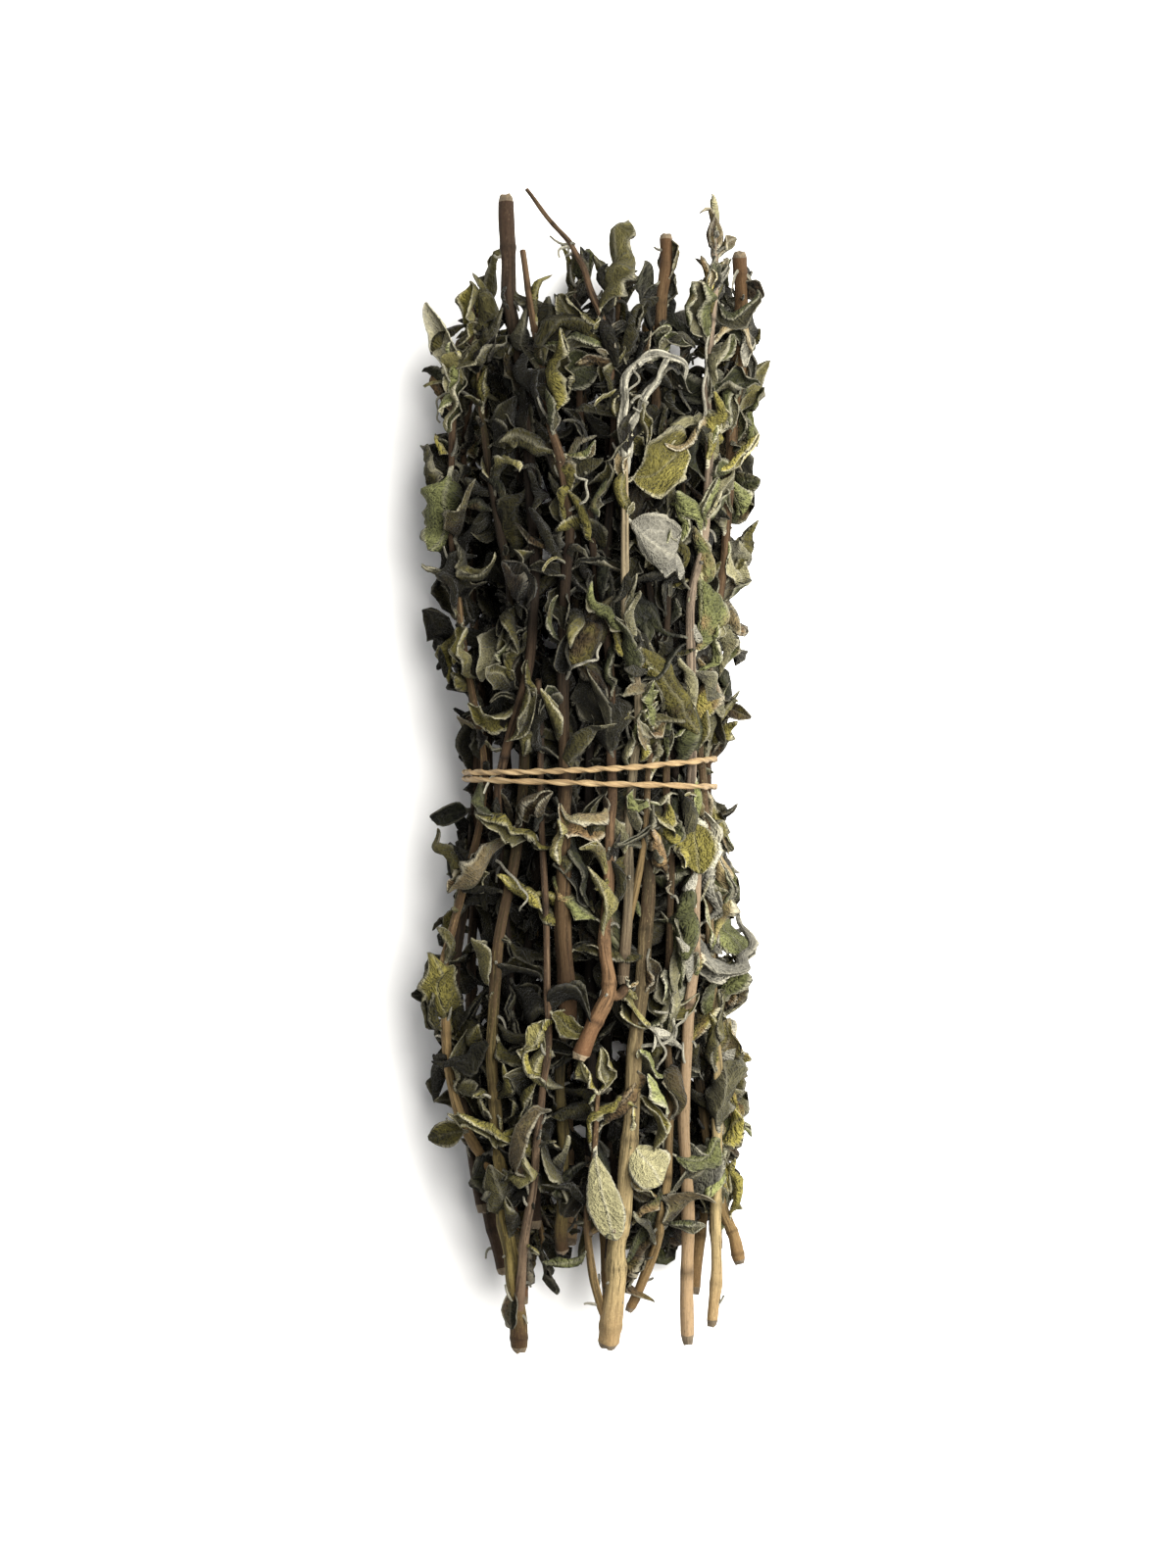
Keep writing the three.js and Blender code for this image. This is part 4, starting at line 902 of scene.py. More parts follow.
def add_stem(shell, holder, seed, worn):
    """A stem with swollen joints where its leaves grow, four blunt edges and a sawn-off end."""
    draw = stream(seed)
    rows = max(8, int(holder.length / 1.8))
    share = np.linspace(0, 1, rows)
    place = share * holder.length
    centre = holder.at(share)
    phase = [2 * np.pi * draw() for _ in range(4)]
    sway = 0.26 * np.sin(place / 9 + phase[0]) + 0.18 * np.sin(place / 4.3 + phase[1])
    centre = centre + np.stack((sway, 0 * sway, 0.5 * sway[::-1]), 1)
    swell, ring = np.zeros(rows), np.zeros(rows)
    joint = draw(5, 18)
    while joint < holder.length:
        swell += draw(0.5, 1.2) * np.exp(-(((place - joint) / 1.5) ** 2))
        ring += draw(0.2, 1.1) * np.exp(-(((place - joint - 0.2) / 0.8) ** 2))
        joint += draw(14, 36)
    radius = between(holder.radius[0], holder.radius[1], share) * 1.02
    radius = radius * (1 + 0.14 * swell + 0.05 * np.sin(place / 3.1 + phase[2]))
    radius[0] *= 0.72 + 0.15 * draw()
    turn = round_turns(STEM_SIDES)
    square = 0.06 * np.cos(4 * turn[None] + place[:, None] / 30)
    uneven = 0.05 * np.sin(3 * turn[None] + place[:, None] / 7 + phase[3])
    grain = round_grain(radius, turn, place + 37.0 * (seed % 89))
    # painted shade: the stem is darkened the deeper it lies in the bunch, less so near the bunch's ends
    deep = painted_shade_at(centre) * np.clip((HALF_LENGTH - np.abs(centre[:, 1])) / STEM_SHADE_END_FADE, 0, 1)
    marks = (share, deep, np.clip(ring, 0, 1))
    add_tube(shell, centre, radius, 1 + square + uneven, UP, grain, marks, worn, CUT)
    add_curls(shell, holder, seed)


STUB_STEP = 16  # of stem to each stub
STUB_LOWEST = 0.6  # over the floor
STUB_RADII = (0.55, 0.3)  # at its root and at its end
THICK_THREAD, SHRIVELLING = 0.7, 0.14  # from what radius a thread is shrivelled, and how far


def add_curls(shell, holder, seed):
    """The stalks that leaves fell from, as short curved stubs on a stem."""
    draw = stream(seed + STUB_SEED)
    for _ in range(int(holder.length / STUB_STEP)):
        share = draw()
        along, up, across = holder.axes(share)
        out = swung(up, across, 2 * np.pi * draw())
        size, lean, bend = draw(2, 6), draw(0.1, 1.2), draw(-1.6, 1.6)
        t = np.linspace(0, 1, 7)[:, None]
        root = holder.at(share)
        line = root + size * t * (out * (1 - 0.3 * t) + along * (lean + bend * t * t) * 0.6)
        line[:, 2] = np.maximum(STUB_LOWEST, line[:, 2])
        if proud_of(line[-1]) < END_PROUD and NECK < abs(line[-1, 1]) < HALF_LENGTH:
            add_thread(shell, line, between(*STUB_RADII, t[:, 0]), 0.5 + 0.5 * draw(), seed)


def add_thread(shell, line, radius, tone, seed):
    """A felted stalk along a line. A thick one is shrivelled, with pale ridges."""
    rows = len(line)
    sides, shrivelled = (STEM_SIDES, SHRIVELLING) if radius[0] > THICK_THREAD else (STEM_SIDES // 2, 0.0)
    turn = round_turns(sides)[None]
    place = np.linspace(0, 1, rows)[:, None]
    ridges = np.cos(3 * turn + 9 * place) + 0.6 * np.cos(2 * turn - 14 * place + seed)
    grain = np.stack(np.broadcast_arrays(rows * place * 0.4, turn * 0.6 + 0.8, np.float64(seed % 97)), -1)
    # painted shade: the stalk's tone is darkened deep in the bunch
    marks = (
        tone * (1 - 0.9 * painted_shade_at(line))[:, None] * (1 + shrivelled * (1.4 * ridges - 0.6)),
        np.full(rows, -0.3),
        0.92 + shrivelled * (0.35 * ridges - 0.35),
    )
    add_tube(shell, line, radius, 1 + shrivelled * ridges, UP, grain, marks, FELT)


# ---- small leaves, buds and loose stalks ----------------------------------------------------------

# The kinds of small leaf: from and to what length, from and to what width as a share of it, from
# and to how far it is rolled, how far it bends at most, and half the width of its stalk.
LOOSE_KINDS = {
    "small": ((10, 21), (0.42, 0.6), (0.8, 2.6), 1.8, 0.45),
    "rolled": ((12, 25), (0.3, 0.44), (2.2, 3.2), 1.9, 0.45),
    "bud": ((4, 8), (0.4, 0.55), (0.7, 2.0), 1.1, 0.36),
    "stalk": ((6, 15), (0, 0), (0.1, 0.2), 3.6, 0.36),
    "broad": ((13, 21), (0.5, 0.7), (0.2, 1.0), 0.9, 0.45),
}


# How they stand: how far round the stem from the way out of the bunch, how many hang towards the
# cut end, and how far those are opened from the stem and how far the others.
LOOSE_SPREAD, LOOSE_HANGING = 125, 0.2
LOOSE_HUNG, LOOSE_LIFTED = (110, 160), (14, 72)


def loose_leaf(holder, share, draw, kind):
    """One of the small leaves that grow between the big pairs, as a random way for it to lie."""
    lengths, widths, rolls, curl, stalk = LOOSE_KINDS[kind]
    along, up, across = holder.axes(share)
    turn = holder.open_turn(share) + math.radians(draw(-LOOSE_SPREAD, LOOSE_SPREAD))
    lift = math.radians(draw(*(LOOSE_HUNG if draw() < LOOSE_HANGING else LOOSE_LIFTED)))
    out = swung(up, across, turn)
    length = draw(*lengths) * (1 - 0.45 * near_tip(share))
    roll = draw(*rolls) * (-1 if draw() < ROLLED_BACK else 1)
    return Leaf(
        root=holder.at(share),
        along=swung(along, out, lift),
        face=swung(-out, along, lift),
        length=length,
        width=length * draw(*widths),
        bend=draw(-curl, curl),
        twist=draw(-2.2, 2.2),
        roll=(roll, roll * draw(0.6, 1.3)),
        sway=draw(-0.3, 0.3),
        wave=draw(0.2, 0.9),
        phase=draw(0, 6),
        stalk=stalk,
    )


# Sprigs that pass deep under the tie.
DEEP_SPRIGS = ("sprig_splayed", "sprig_thick", "sprig_green", "sprig_long", "sprig_inner_left",
               "sprig_inner_middle")

# How near the tie their tucked leaves start, how many there are, and how deep they lie.
TUCKED_REACH, TUCKED_LEAVES, TUCKED_DEPTH = 13, 16, 3.8

# The share of a stem, from its cut end, that no small leaves grow on, and the corner of the bunch,
# at the left of the cut ends, that is kept free of them: x and y.
BARE_FEET = {"sprig_edge": 0.4, "sprig_right": 0.22}
BARE_CORNER = (-29, -97)

# Where leaves that start on either side of the tie have to end, along Y, and how far off they may
# start and still pass it.
BEFORE_TIE, BEYOND_TIE, OFF_TIE = -4, 2.5, 40

# How many times more small leaves the stems that aren't seen have, and those of them on the right.
HIDDEN_CROWD, RIGHT_CROWD = 2.3, 3
RIGHT_SIDE = 15

# Which small leaves in each five are left out below the tie on the stems that are seen, which are
# barer there.
THINNED = (1, 3)

# The kinds of small leaf on the stems that are seen and that aren't, each with the lot up to which
# it is drawn.
SEEN_KINDS = ((0.45, "small"), (0.8, "rolled"), (0.9, "bud"), (1.0, "stalk"))
HIDDEN_KINDS = ((0.55, "broad"), (0.75, "small"), (0.9, "rolled"), (1.0, "stalk"))


def loose_leaves(holder, seed, crowd, kinds, bare):
    """Small leaves along a stem, above its bare foot, and buds at its tip, where they keep to the
    bunch."""
    draw = stream(seed)
    first, last = (holder.leaves[0] * 0.7, holder.leaves[1] + 0.02) if holder.leaves else (0.5, 1)
    first = max(first, bare)
    count = int(holder.length * (last - first) * crowd / 10)
    plan = [(between(first, last, (k + draw()) / count), draw()) for k in range(count)]
    plan += [(draw(last - 0.05, last), 0.85) for _ in range(5)]
    for k, (share, lot) in enumerate(plan):
        if kinds is SEEN_KINDS and k % 5 in THINNED and holder.at(share)[1] < -WAIST:
            continue
        kind = next(name for top, name in kinds if lot <= top)
        for _ in range(4):
            leaf = loose_leaf(holder, share, draw, kind)
            if keeps_in(leaf):
                yield leaf
                break


def in_bare_corner(leaf):
    """Whether a leaf stands out at the left of the cut ends, where the bunch narrows."""
    ends = np.minimum(leaf.root, tip_of(leaf))
    return ends[0] < BARE_CORNER[0] and ends[1] < BARE_CORNER[1]


def tucked_leaves(holder, seed):
    """Broad leaves deep under the tie, which close the bunch between its stems."""
    draw = stream(seed)
    near = np.flatnonzero(np.abs(holder.at(np.linspace(0, 1, 401))[:, 1]) < TUCKED_REACH) / 400
    for _ in range(TUCKED_LEAVES):
        for _ in range(8):
            leaf = loose_leaf(holder, near[int(draw() * len(near))], draw, "broad")
            if max(proud_of(point) for point in spots_of(leaf, 0.2, 0.5, 0.8, 1.0)) < -TUCKED_DEPTH:
                yield leaf
                break


def clear_of_tie(leaf):
    """The leaf made short enough to end before the tie."""
    for _ in range(6):
        reach = spots_of(leaf, 0.5, 0.8, 1.0)[:, 1]
        clear = reach.min() > BEYOND_TIE if leaf.root[1] > 0 else reach.max() < BEFORE_TIE
        if clear or abs(leaf.root[1]) > OFF_TIE:
            break
        leaf.length *= 0.8
        leaf.width *= 0.9
    return leaf


def corners_of(node):
    """The corners of a solid, to be found by where they are."""
    corners = KDTree(len(node.data.vertices))
    for k, vertex in enumerate(node.data.vertices):
        corners.insert(vertex.co, k)
    corners.balance()
    return corners


def add_big_leaves(shell, holder, shows, corners, seed, side, crinkle):
    """The leaves of a stem that its solid has, each over its own: the shown ones, then the pairs. A
    pair's leaf that the solid has no room for lies another way, if there is one that fits."""
    for k, (facts, now) in enumerate(shows):
        show = dict(zip(SHOW_KEYS, facts))
        if way_taken([show_leaf(show, holder)], corners):
            leaf = show_leaf({**show, **now}, holder)
            add_leaf(shell, leaf, 100 * seed + SHOWN + k, FINE_SIDES, SHOWN_CRINKLE)
    for k, ways in enumerate(leaf_ways(holder, seed)):
        leaf = way_taken(ways, corners)
        if leaf is None:
            leaf = next((way for way in ways[2 * len(TURNS):] if keeps_in(way)), None)
        if leaf is not None:
            leaf = dried(leaf, unit(ways[0].axis), stream(100 * seed + DRYING + k))
            add_leaf(shell, clear_of_tie(leaf), 100 * seed + k, side, crinkle)


def add_threads(shell, courses, seed):
    """The long bare stalks of a sprig, a little crooked."""
    share = np.linspace(0, 1, 36)
    for k, (radius, course) in enumerate(courses):
        line = Stem((radius, radius), None, course).at(share)
        line += 0.35 * np.stack((np.sin(share * 19 + k), np.sin(share * 13), np.sin(share * 24 + k)), 1)
        add_thread(shell, line, between(radius, radius * 0.6, share) * 0.9, 0.8, seed)


def dress_sprig(name, crowd, crinkle, seen, materials):
    """Makes one sprig again over its solid. A sprig that isn't seen gets broad leaves in place of
    small ones, which close the bunch, and all its leaves have fewer points."""
    corners = corners_of(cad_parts[name])
    number = list(SPRIGS).index(name) + 1
    shell = Shell()
    big, small = (FINE_SIDES, PLAIN_SIDES) if seen else (PLAIN_SIDES, HIDDEN_SIDES)
    kinds = SEEN_KINDS if seen else HIDDEN_KINDS
    bare = BARE_FEET.get(name, 0)
    for place, holder in enumerate(SPRIGS[name]):
        seed = 1000 * number + place
        add_stem(shell, holder, seed, BARK + place)
        shows = SHOW_LEAVES.get((name, place), ())
        add_big_leaves(shell, holder, shows, corners, seed, big, crinkle)
        on_right = holder.knots[3][0] > RIGHT_SIDE
        crowding = crowd * (1 if seen else RIGHT_CROWD if on_right else HIDDEN_CROWD)
        for k, leaf in enumerate(loose_leaves(holder, seed + LOOSE_SEED, crowding, kinds, bare)):
            if not in_bare_corner(leaf):
                add_leaf(shell, leaf, 100 * seed + LOOSE + k, small, crinkle)
        deep = name in DEEP_SPRIGS and not place
        for k, leaf in enumerate(tucked_leaves(holder, seed + TUCKED_SEED) if deep else ()):
            add_leaf(shell, leaf, 100 * seed + TUCKED + k, small, crinkle)
    add_threads(shell, THREADS.get(name, ()), number)
    return shell.piece(name.replace("sprig", "sage"), name, "sage_sprig", materials)


# ---- the tie --------------------------------------------------------------------------------------


def sampled(line, place, wanted):
    """What a line of points is at the places wanted, when each of its points has a place."""
    return np.stack([np.interp(wanted, place, line[:, k]) for k in range(3)], 1)


def softened(line, step, reach):
    """A line of points made again at even steps, each one the mean of those within reach of it."""
    place = distances(line)
    line = sampled(line, place, np.linspace(0, place[-1], max(4, int(place[-1] / step))))
    kernel = np.hanning(2 * reach + 3)[1:-1]
    kernel /= kernel.sum()
    padded = np.concatenate((np.repeat(line[:1], reach, 0), line, np.repeat(line[-1:], reach, 0)))
    return np.stack([np.convolve(padded[:, k], kernel, "valid") for k in range(3)], 1)


def waistline():
    """Where a tight cord's middle runs round the stems, and the way that it faces, from the middle
    of the underside right round."""
    sections = []
    for holder in (holder for stems in SPRIGS.values() for holder in stems):
        for k in range(len(holder.stops) - 1):
            for share in np.linspace(0, 1, 21):
                x, y, z = between(holder.stops[k], holder.stops[k + 1], share)
                along = (k + share) / (len(holder.stops) - 1)
                if abs(y) < WAIST:
                    sections.append((x, z, between(*holder.radius, along)))
    x, z, radius = np.array(sections).T
    turn = np.linspace(-0.5, 1.5, 721) * np.pi
    out = np.stack((np.cos(turn), np.sin(turn)), 1)
    held = np.argmax(x[:, None] * out[:, 0] + z[:, None] * out[:, 1] + radius[:, None], axis=0)
    away = (radius[held] + GAP + TIE_RADIUS)[:, None] * out
    line = np.stack((x[held] + away[:, 0], 0 * turn, z[held] + away[:, 1]), 1)
    return turn, line, np.stack((out[:, 0], 0 * turn, out[:, 1]), 1)


def add_strand(shell, line, facing, radius, pitch, seed):
    """Two plies of raffia twisted round each other along a line."""
    draw = stream(seed)
    centre = softened(line, 0.5, 2)
    facing = sampled(facing, np.linspace(0, 1, len(facing)), np.linspace(0, 1, len(centre)))
    along = unit(np.gradient(centre, axis=0))
    side = unit(np.cross(along, facing))
    facing = np.cross(side, along)
    place = distances(centre)
    turn = round_turns(STRAND_SIDES)
    for ply in (0, 1):
        phase = 2 * np.pi * place / pitch + np.pi * ply + 0.5 * np.sin(place / 7 + ply)
        way = swung(facing, side, phase[:, None])
        width = radius * (0.7 + 0.05 * np.sin(place / 2.7 + 3 * ply) + 0.03 * np.sin(place / 0.9))
        ribs = 1 + 0.12 * np.cos(2 * turn) + 0.07 * np.cos(5 * turn + place[:, None] / 2.2)
        grain = round_grain(width, turn, place + draw() * 50)
        marks = [np.full(len(centre), mark) for mark in (draw(), draw(), 0)]
        add_tube(shell, centre + way * radius * 0.34, width, ribs, way, grain, marks, 0)


TURN_SEED, KNOT_SEED, TAIL_SEED = 11, 21, 31


def dress_tie(pitch, materials):
    """Makes the tie again: two turns, the knot under the bunch and two loose ends."""
    shell = Shell()
    turn, line, facing = waistline()
    left, right = line[:, 0].min(), line[:, 0].max()
    for k, sides in enumerate(TIE_TURNS):
        across = ((line[:, 0] - left) / (right - left)) ** sides["bow"]
        knotted = np.maximum(0, -np.sin(turn)) ** 4
        course = line.copy()
        course[:, 1] = between(sides["left"], sides["right"], across) * (1 - knotted)
        add_strand(shell, course, facing, TIE_RADIUS, pitch * (1 + 0.5 * k), TURN_SEED + k)
    bottom = line[0]
    t = np.linspace(0, 2 * np.pi, 120)
    loops = np.stack(((np.sin(t) + 2 * np.sin(2 * t)) / 3, (np.cos(t) - 2 * np.cos(2 * t)) / 3,
                      -np.sin(3 * t)), 1)
    knot = np.array(KNOT) - TIE_RADIUS
    lump = bottom + np.array((0, 0, TIE_RADIUS - KNOT[2])) + loops * knot
    add_strand(shell, lump, UP[None], TIE_RADIUS, pitch, KNOT_SEED)
    for k, reach in enumerate(TAILS):
        share = np.linspace(0, 1, 40)[:, None]
        wave = np.sin(share * 5 + k) * np.array((0.5, 0, 0.1)) * share
        tail = bottom + np.array(reach) * share + wave
        add_strand(shell, tail, UP[None], TIE_RADIUS * 0.85, pitch * 1.5, TAIL_SEED + k)
    return shell.piece("raffia_cord", "raffia_tie", "raffia", materials)


# ---- finishes -------------------------------------------------------------------------------------


class Value:
    """A number in a material, as a socket that takes part in Python arithmetic."""

    def __init__(self, finish, socket):
        self.finish = finish
        self.socket = socket

    def __add__(self, other):
        return self.finish.maths("ADD", self, other)

    __radd__ = __add__

    def __sub__(self, other):
        return self.finish.maths("SUBTRACT", self, other)

    def __rsub__(self, other):
        return self.finish.maths("SUBTRACT", other, self)

    def __mul__(self, other):
        return self.finish.maths("MULTIPLY", self, other)

    __rmul__ = __mul__

    def __truediv__(self, other):
        return self.finish.maths("DIVIDE", self, other)

    def __abs__(self):
        return self.finish.maths("ABSOLUTE", self)

    def kept(self):
        """The number kept between 0 and 1."""
        return self.finish.maths("MINIMUM", self.finish.maths("MAXIMUM", self, 0.0), 1.0)


class Finish:
    """A material and the nodes in it."""

    def __init__(self, name):
        self.material = bpy.data.materials.new(name)
        self.material.use_nodes = True
        self.tree = self.material.node_tree
        self.tree.nodes.clear()

    def node(self, kind, settings=None, values=None):
        """A node of a type, with its settings made first and then its sockets filled or linked."""
        node = self.tree.nodes.new(kind)
        for key, setting in (settings or {}).items():
            setattr(node, key, setting)
        for key, value in (values or {}).items():
            if isinstance(value, Value):
                self.tree.links.new(value.socket, node.inputs[key])
            else:
                node.inputs[key].default_value = value
        return node

    def value(self, kind, settings=None, values=None, output=0):
        """One output of a node."""
        return Value(self, self.node(kind, settings, values).outputs[output])

    def maths(self, operation, *values):
        """A number worked out from others."""
        return self.value("ShaderNodeMath", {"operation": operation}, dict(enumerate(values)))

    def attribute(self, name, output="Fac"):
        """What the mesh says under a name."""
        settings = {"attribute_name": name, "attribute_type": "GEOMETRY"}
        return self.value("ShaderNodeAttribute", settings, None, output)

    def marks(self):
        """What the mesh says as tone, as warm and as rim."""
        return [self.attribute(key) for key in MARKS]

    def parts(self, place):
        """The three numbers of a place."""
        node = self.node("ShaderNodeSeparateXYZ", None, {0: place})
        return [Value(self, output) for output in node.outputs]

    def scaled(self, colour, share):
        """A colour made darker or paler."""
        return self.value("ShaderNodeVectorMath", {"operation": "SCALE"}, {0: colour, 3: share})

    def noise(self, place, scale, detail=2.0, roughness=0.55):
        """A cloudy pattern."""
        values = {"Vector": place, "Scale": scale, "Detail": detail, "Roughness": roughness}
        return self.value("ShaderNodeTexNoise", None, values, "Fac")

    def streaks(self, place, across, along, detail=4.0, roughness=0.65):
        """A cloudy pattern with one scale across a stem and another along it."""
        scale = {0: place, 1: (across, across, along)}
        place = self.value("ShaderNodeVectorMath", {"operation": "MULTIPLY"}, scale)
        return self.noise(place, 1.0, detail, roughness)

    def cells(self, place, scale):
        """How far each place is from the edge of its cell in a net of cells."""
        settings = {"feature": "DISTANCE_TO_EDGE"}
        return self.value("ShaderNodeTexVoronoi", settings, {"Vector": place, "Scale": scale}, "Distance")

    def eased(self, value, low, high):
        """0 where value is low, 1 where it is high, and eased from one to the other."""
        values = {"Value": value, "From Min": low, "From Max": high}
        return self.value("ShaderNodeMapRange", {"interpolation_type": "SMOOTHSTEP"}, values)

    def mixed(self, share, low, high):
        """A colour between two others."""
        settings = {"data_type": "RGBA", "clamp_factor": True}
        return self.value("ShaderNodeMix", settings, {0: share, 6: low, 7: high}, 2)

    def laid(self, colour, over, pattern, low, high, share=None):
        """A colour with another laid over it where a pattern has got from low to high."""
        where = self.eased(pattern, low, high)
        return self.mixed(where if share is None else where * share, colour, over)

    def finished(self, colour, roughness, height, depth, **plain):
        """Ends the material in one surface with that colour, roughness and relief."""
        bump = self.value("ShaderNodeBump", None, {"Height": height, "Distance": depth, "Strength": 1.0})
        values = {"Base Color": colour, "Roughness": roughness, "Normal": bump, **plain}
        surface = self.value("ShaderNodeBsdfPrincipled", None, values)
        self.node("ShaderNodeOutputMaterial", None, {"Surface": surface})
        return self.material


def shaded(colour, *shares):
    """A colour with its parts made darker or paler, each by its own share or all by one."""
    return (*(part * share for part, share in zip(colour[:3], shares * 3)), 1)


def blade_marks(finish):
    """What both sides of a leaf are drawn with: its pattern, side veins, midrib, net and creases."""
    grain = finish.attribute("grain", "Vector")
    along, across, _ = finish.parts(grain)
    order = (along - abs(across) * VEIN_SLANT) / VEIN_STEP + finish.noise(grain, 0.3, 1.0) * 1.8
    off_vein = 0.5 - abs(finish.maths("FRACT", order) - 0.5)
    vein = (1 - off_vein * (VEIN_STEP / 0.5)).kept()
    midrib = (1 - abs(across) / 0.6).kept()
    cell = finish.cells(grain, 1.4)
    crease = finish.cells(grain, 0.55)
    return grain, vein, midrib, cell, crease


def leaf_hue(finish, warm, patches, look, green):
    """A leaf's colour before its veins: grey, greyish green, browned or yellowed as it dried."""
    warmth = warm + patches * 0.4 - 0.2
    colour = finish.laid(green, look.ash, warmth, 0.0, -0.2)
    colour = finish.laid(colour, look.brown, warmth, 0.36, 0.46)
    return finish.laid(colour, look.olive, warmth, 0.50, 0.62)


def lit(finish, colour, pale, gain):
    """A leaf's colour, from nearly black where it is dark to that gain where it is pale."""
    return finish.scaled(colour, pale * pale * gain + pale * 0.15 + 0.03)


def edged(finish, colour, look, pale, midrib, rim, inner):
    """A leaf's colour with pale felt on its midrib, and on its rims from an inner limit outwards."""
    colour = finish.mixed(midrib * pale, colour, look.rim)
    return finish.laid(colour, look.rim, rim, inner, 0.98, pale * 0.75 + 0.06)


def upper_finish(name, look):
    """The upper side of a leaf: dark and pebbled, sunk along its veins, and paler at the rims."""
    finish = Finish(name)
    grain, vein, midrib, cell, crease = blade_marks(finish)
    tone, warm, rim = finish.marks()
    patches = finish.noise(grain, 0.17, 3.0)
    dust = finish.noise(grain, 2.6, 3.0)
    net = (1 - cell * 4.0).kept()
    # tone brings in the painted shade deep in the bunch and the painted light on the right
    pale = (tone * 0.85 + patches * 0.7 - 0.28).kept()
    colour = lit(finish, leaf_hue(finish, warm, patches, look, look.green), pale, 1.7)
    colour = finish.scaled(colour, 1.10 - cell * 0.7 - crease * 0.55 + net * 0.4 + vein * 0.4 + dust * 0.15)
    colour = edged(finish, colour, look, pale, midrib * 0.3, rim, 0.76)
    height = cell * 0.9 + crease * 1.5 - vein * 0.35 - midrib * 0.4 + dust * 0.2
    plain = {"Sheen Weight": 0.02, "Sheen Roughness": 0.5, "Specular IOR Level": 0.1}
    return finish.finished(colour, 0.85 - net * 0.15, height, 0.0013, **plain)


def felt_finish(name, look):
    """The underside of a leaf: pale felt, with its veins and their net standing out."""
    finish = Finish(name)
    grain, vein, midrib, cell, crease = blade_marks(finish)
    tone, warm, rim = finish.marks()
    patches = finish.noise(grain, 0.21, 3.0)
    fluff = finish.noise(grain, 5.0, 3.0, 0.7)
    net = (1 - cell * 3.6).kept()
    # tone brings in the painted shade deep in the bunch and the painted light on the right
    pale = (tone * 0.95 + patches * 0.6 - 0.28).kept()
    hue = leaf_hue(finish, warm, patches, look, look.felt)
    colour = finish.mixed(0.3, hue, finish.laid(look.felt, look.ash, warm, 0.0, -0.2))
    colour = lit(finish, colour, pale, 1.45)
    colour = finish.scaled(colour, 0.85 + net * 0.35 + vein * 0.35 - crease * 0.3)
    colour = edged(finish, colour, look, pale, midrib * 0.5, rim, 0.78)
    height = net * 0.4 + vein * 0.45 + midrib * 0.5 + fluff * 0.4 - crease * 1.2
    plain = {"Sheen Weight": 0.05, "Sheen Roughness": 0.4, "Specular IOR Level": 0.08}
    return finish.finished(colour, 0.95 - fluff * 0.08, height, 0.0009, **plain)


def bark_finish(name, look, own, young, raw, reach):
    """Bark: streaked along the stem, ringed at the joints, and darkened with painted shade where it runs
    through the heart of the bunch. young is its colour towards the tip, and raw the one next to the cut
    end. The higher reach is, the shorter that end."""
    finish = Finish(name)
    grain = finish.attribute("grain", "Vector")
    # deep is the painted shade of the stem from lying deep in the bunch
    share, deep, ring = finish.marks()
    streaks, fibres = finish.streaks(grain, 1.3, 0.05), finish.streaks(grain, 4.5, 0.25)
    patches, spots = finish.streaks(grain, 0.45, 0.045, 2.0), finish.streaks(grain, 2.4, 1.2)
    dark = shaded(own, 0.28)
    light = (*(1.3 * part + 0.2 * cream for part, cream in zip(own[:3], look.cream)), 1)
    colour = finish.mixed((share * 3.2 + patches * 0.6 - 0.95).kept(), own, young)
    colour = finish.laid(colour, light, patches, 0.54, 0.66, 0.6)
    colour = finish.laid(colour, dark, streaks, 0.49, 0.60, 0.9)
    colour = finish.laid(colour, light, streaks, 0.44, 0.34, 0.5)
    colour = finish.mixed((1.2 - share * reach).kept() * 0.9, colour, raw)
    colour = finish.laid(colour, dark, fibres, 0.52, 0.70, 0.5)
    colour = finish.laid(colour, light, spots, 0.58, 0.66, 0.45)
    colour = finish.laid(colour, dark, spots, 0.42, 0.34, 0.5)
    # dark rings at the joints, and painted shade where the stem lies deep in the bunch
    colour = finish.scaled(colour, (1 - ring * 0.75) * (1 - deep * 0.85))
    height = streaks * 0.8 + fibres * 0.6 + spots * 0.3 - ring * 0.5
    return finish.finished(colour, 0.72 + fibres * 0.2, height, 0.0004, **{"Specular IOR Level": 0.12})


def cut_finish(name, wood):
    """Cut wood: a soft pith, rings round it, and a ragged dark rim of bark."""
    finish = Finish(name)
    grain = finish.attribute("grain", "Vector")
    x, y, _ = finish.parts(grain)
    out = finish.maths("SQRT", x * x + y * y)
    rough = finish.noise(grain, 2.6, 4.0, 0.7)
    rings = finish.maths("SINE", (out + rough * 0.3) * 14.0) * 0.5 + 0.5
    colour = finish.mixed(rings * 0.45 + rough * 0.4, wood, shaded(wood, 0.45))
    colour = finish.laid(colour, shaded(wood, 1.9), out, 0.35, 0.15, 0.6)
    return finish.finished(colour, 0.9, rough + rings * 0.3, 0.0004)


def raffia_finish(name, look):
    """Raffia: dry straw-coloured strands with fine fibres along them and a slight gloss."""
    finish = Finish(name)
    grain = finish.attribute("grain", "Vector")
    fibres, patches = finish.streaks(grain, 6.0, 0.22), finish.streaks(grain, 0.9, 0.16, 2.0, 0.55)
    colour = finish.laid(look.raffia, look.raffia_dark, fibres, 0.35, 0.7)
    colour = finish.laid(colour, look.raffia_pale, patches, 0.45, 0.75, 0.5)
    roughness = 0.48 + fibres * 0.25
    return finish.finished(colour, roughness, fibres, 0.00035, **{"Specular IOR Level": 0.45})


# ---- settings -------------------------------------------------------------------------------------


def colour_property(name, description, default):
    """A setting that is a colour."""
    return FloatVectorProperty(
        name=name, description=description, default=(*default, 1.0), size=4, min=0, max=1, subtype="COLOR"
    )


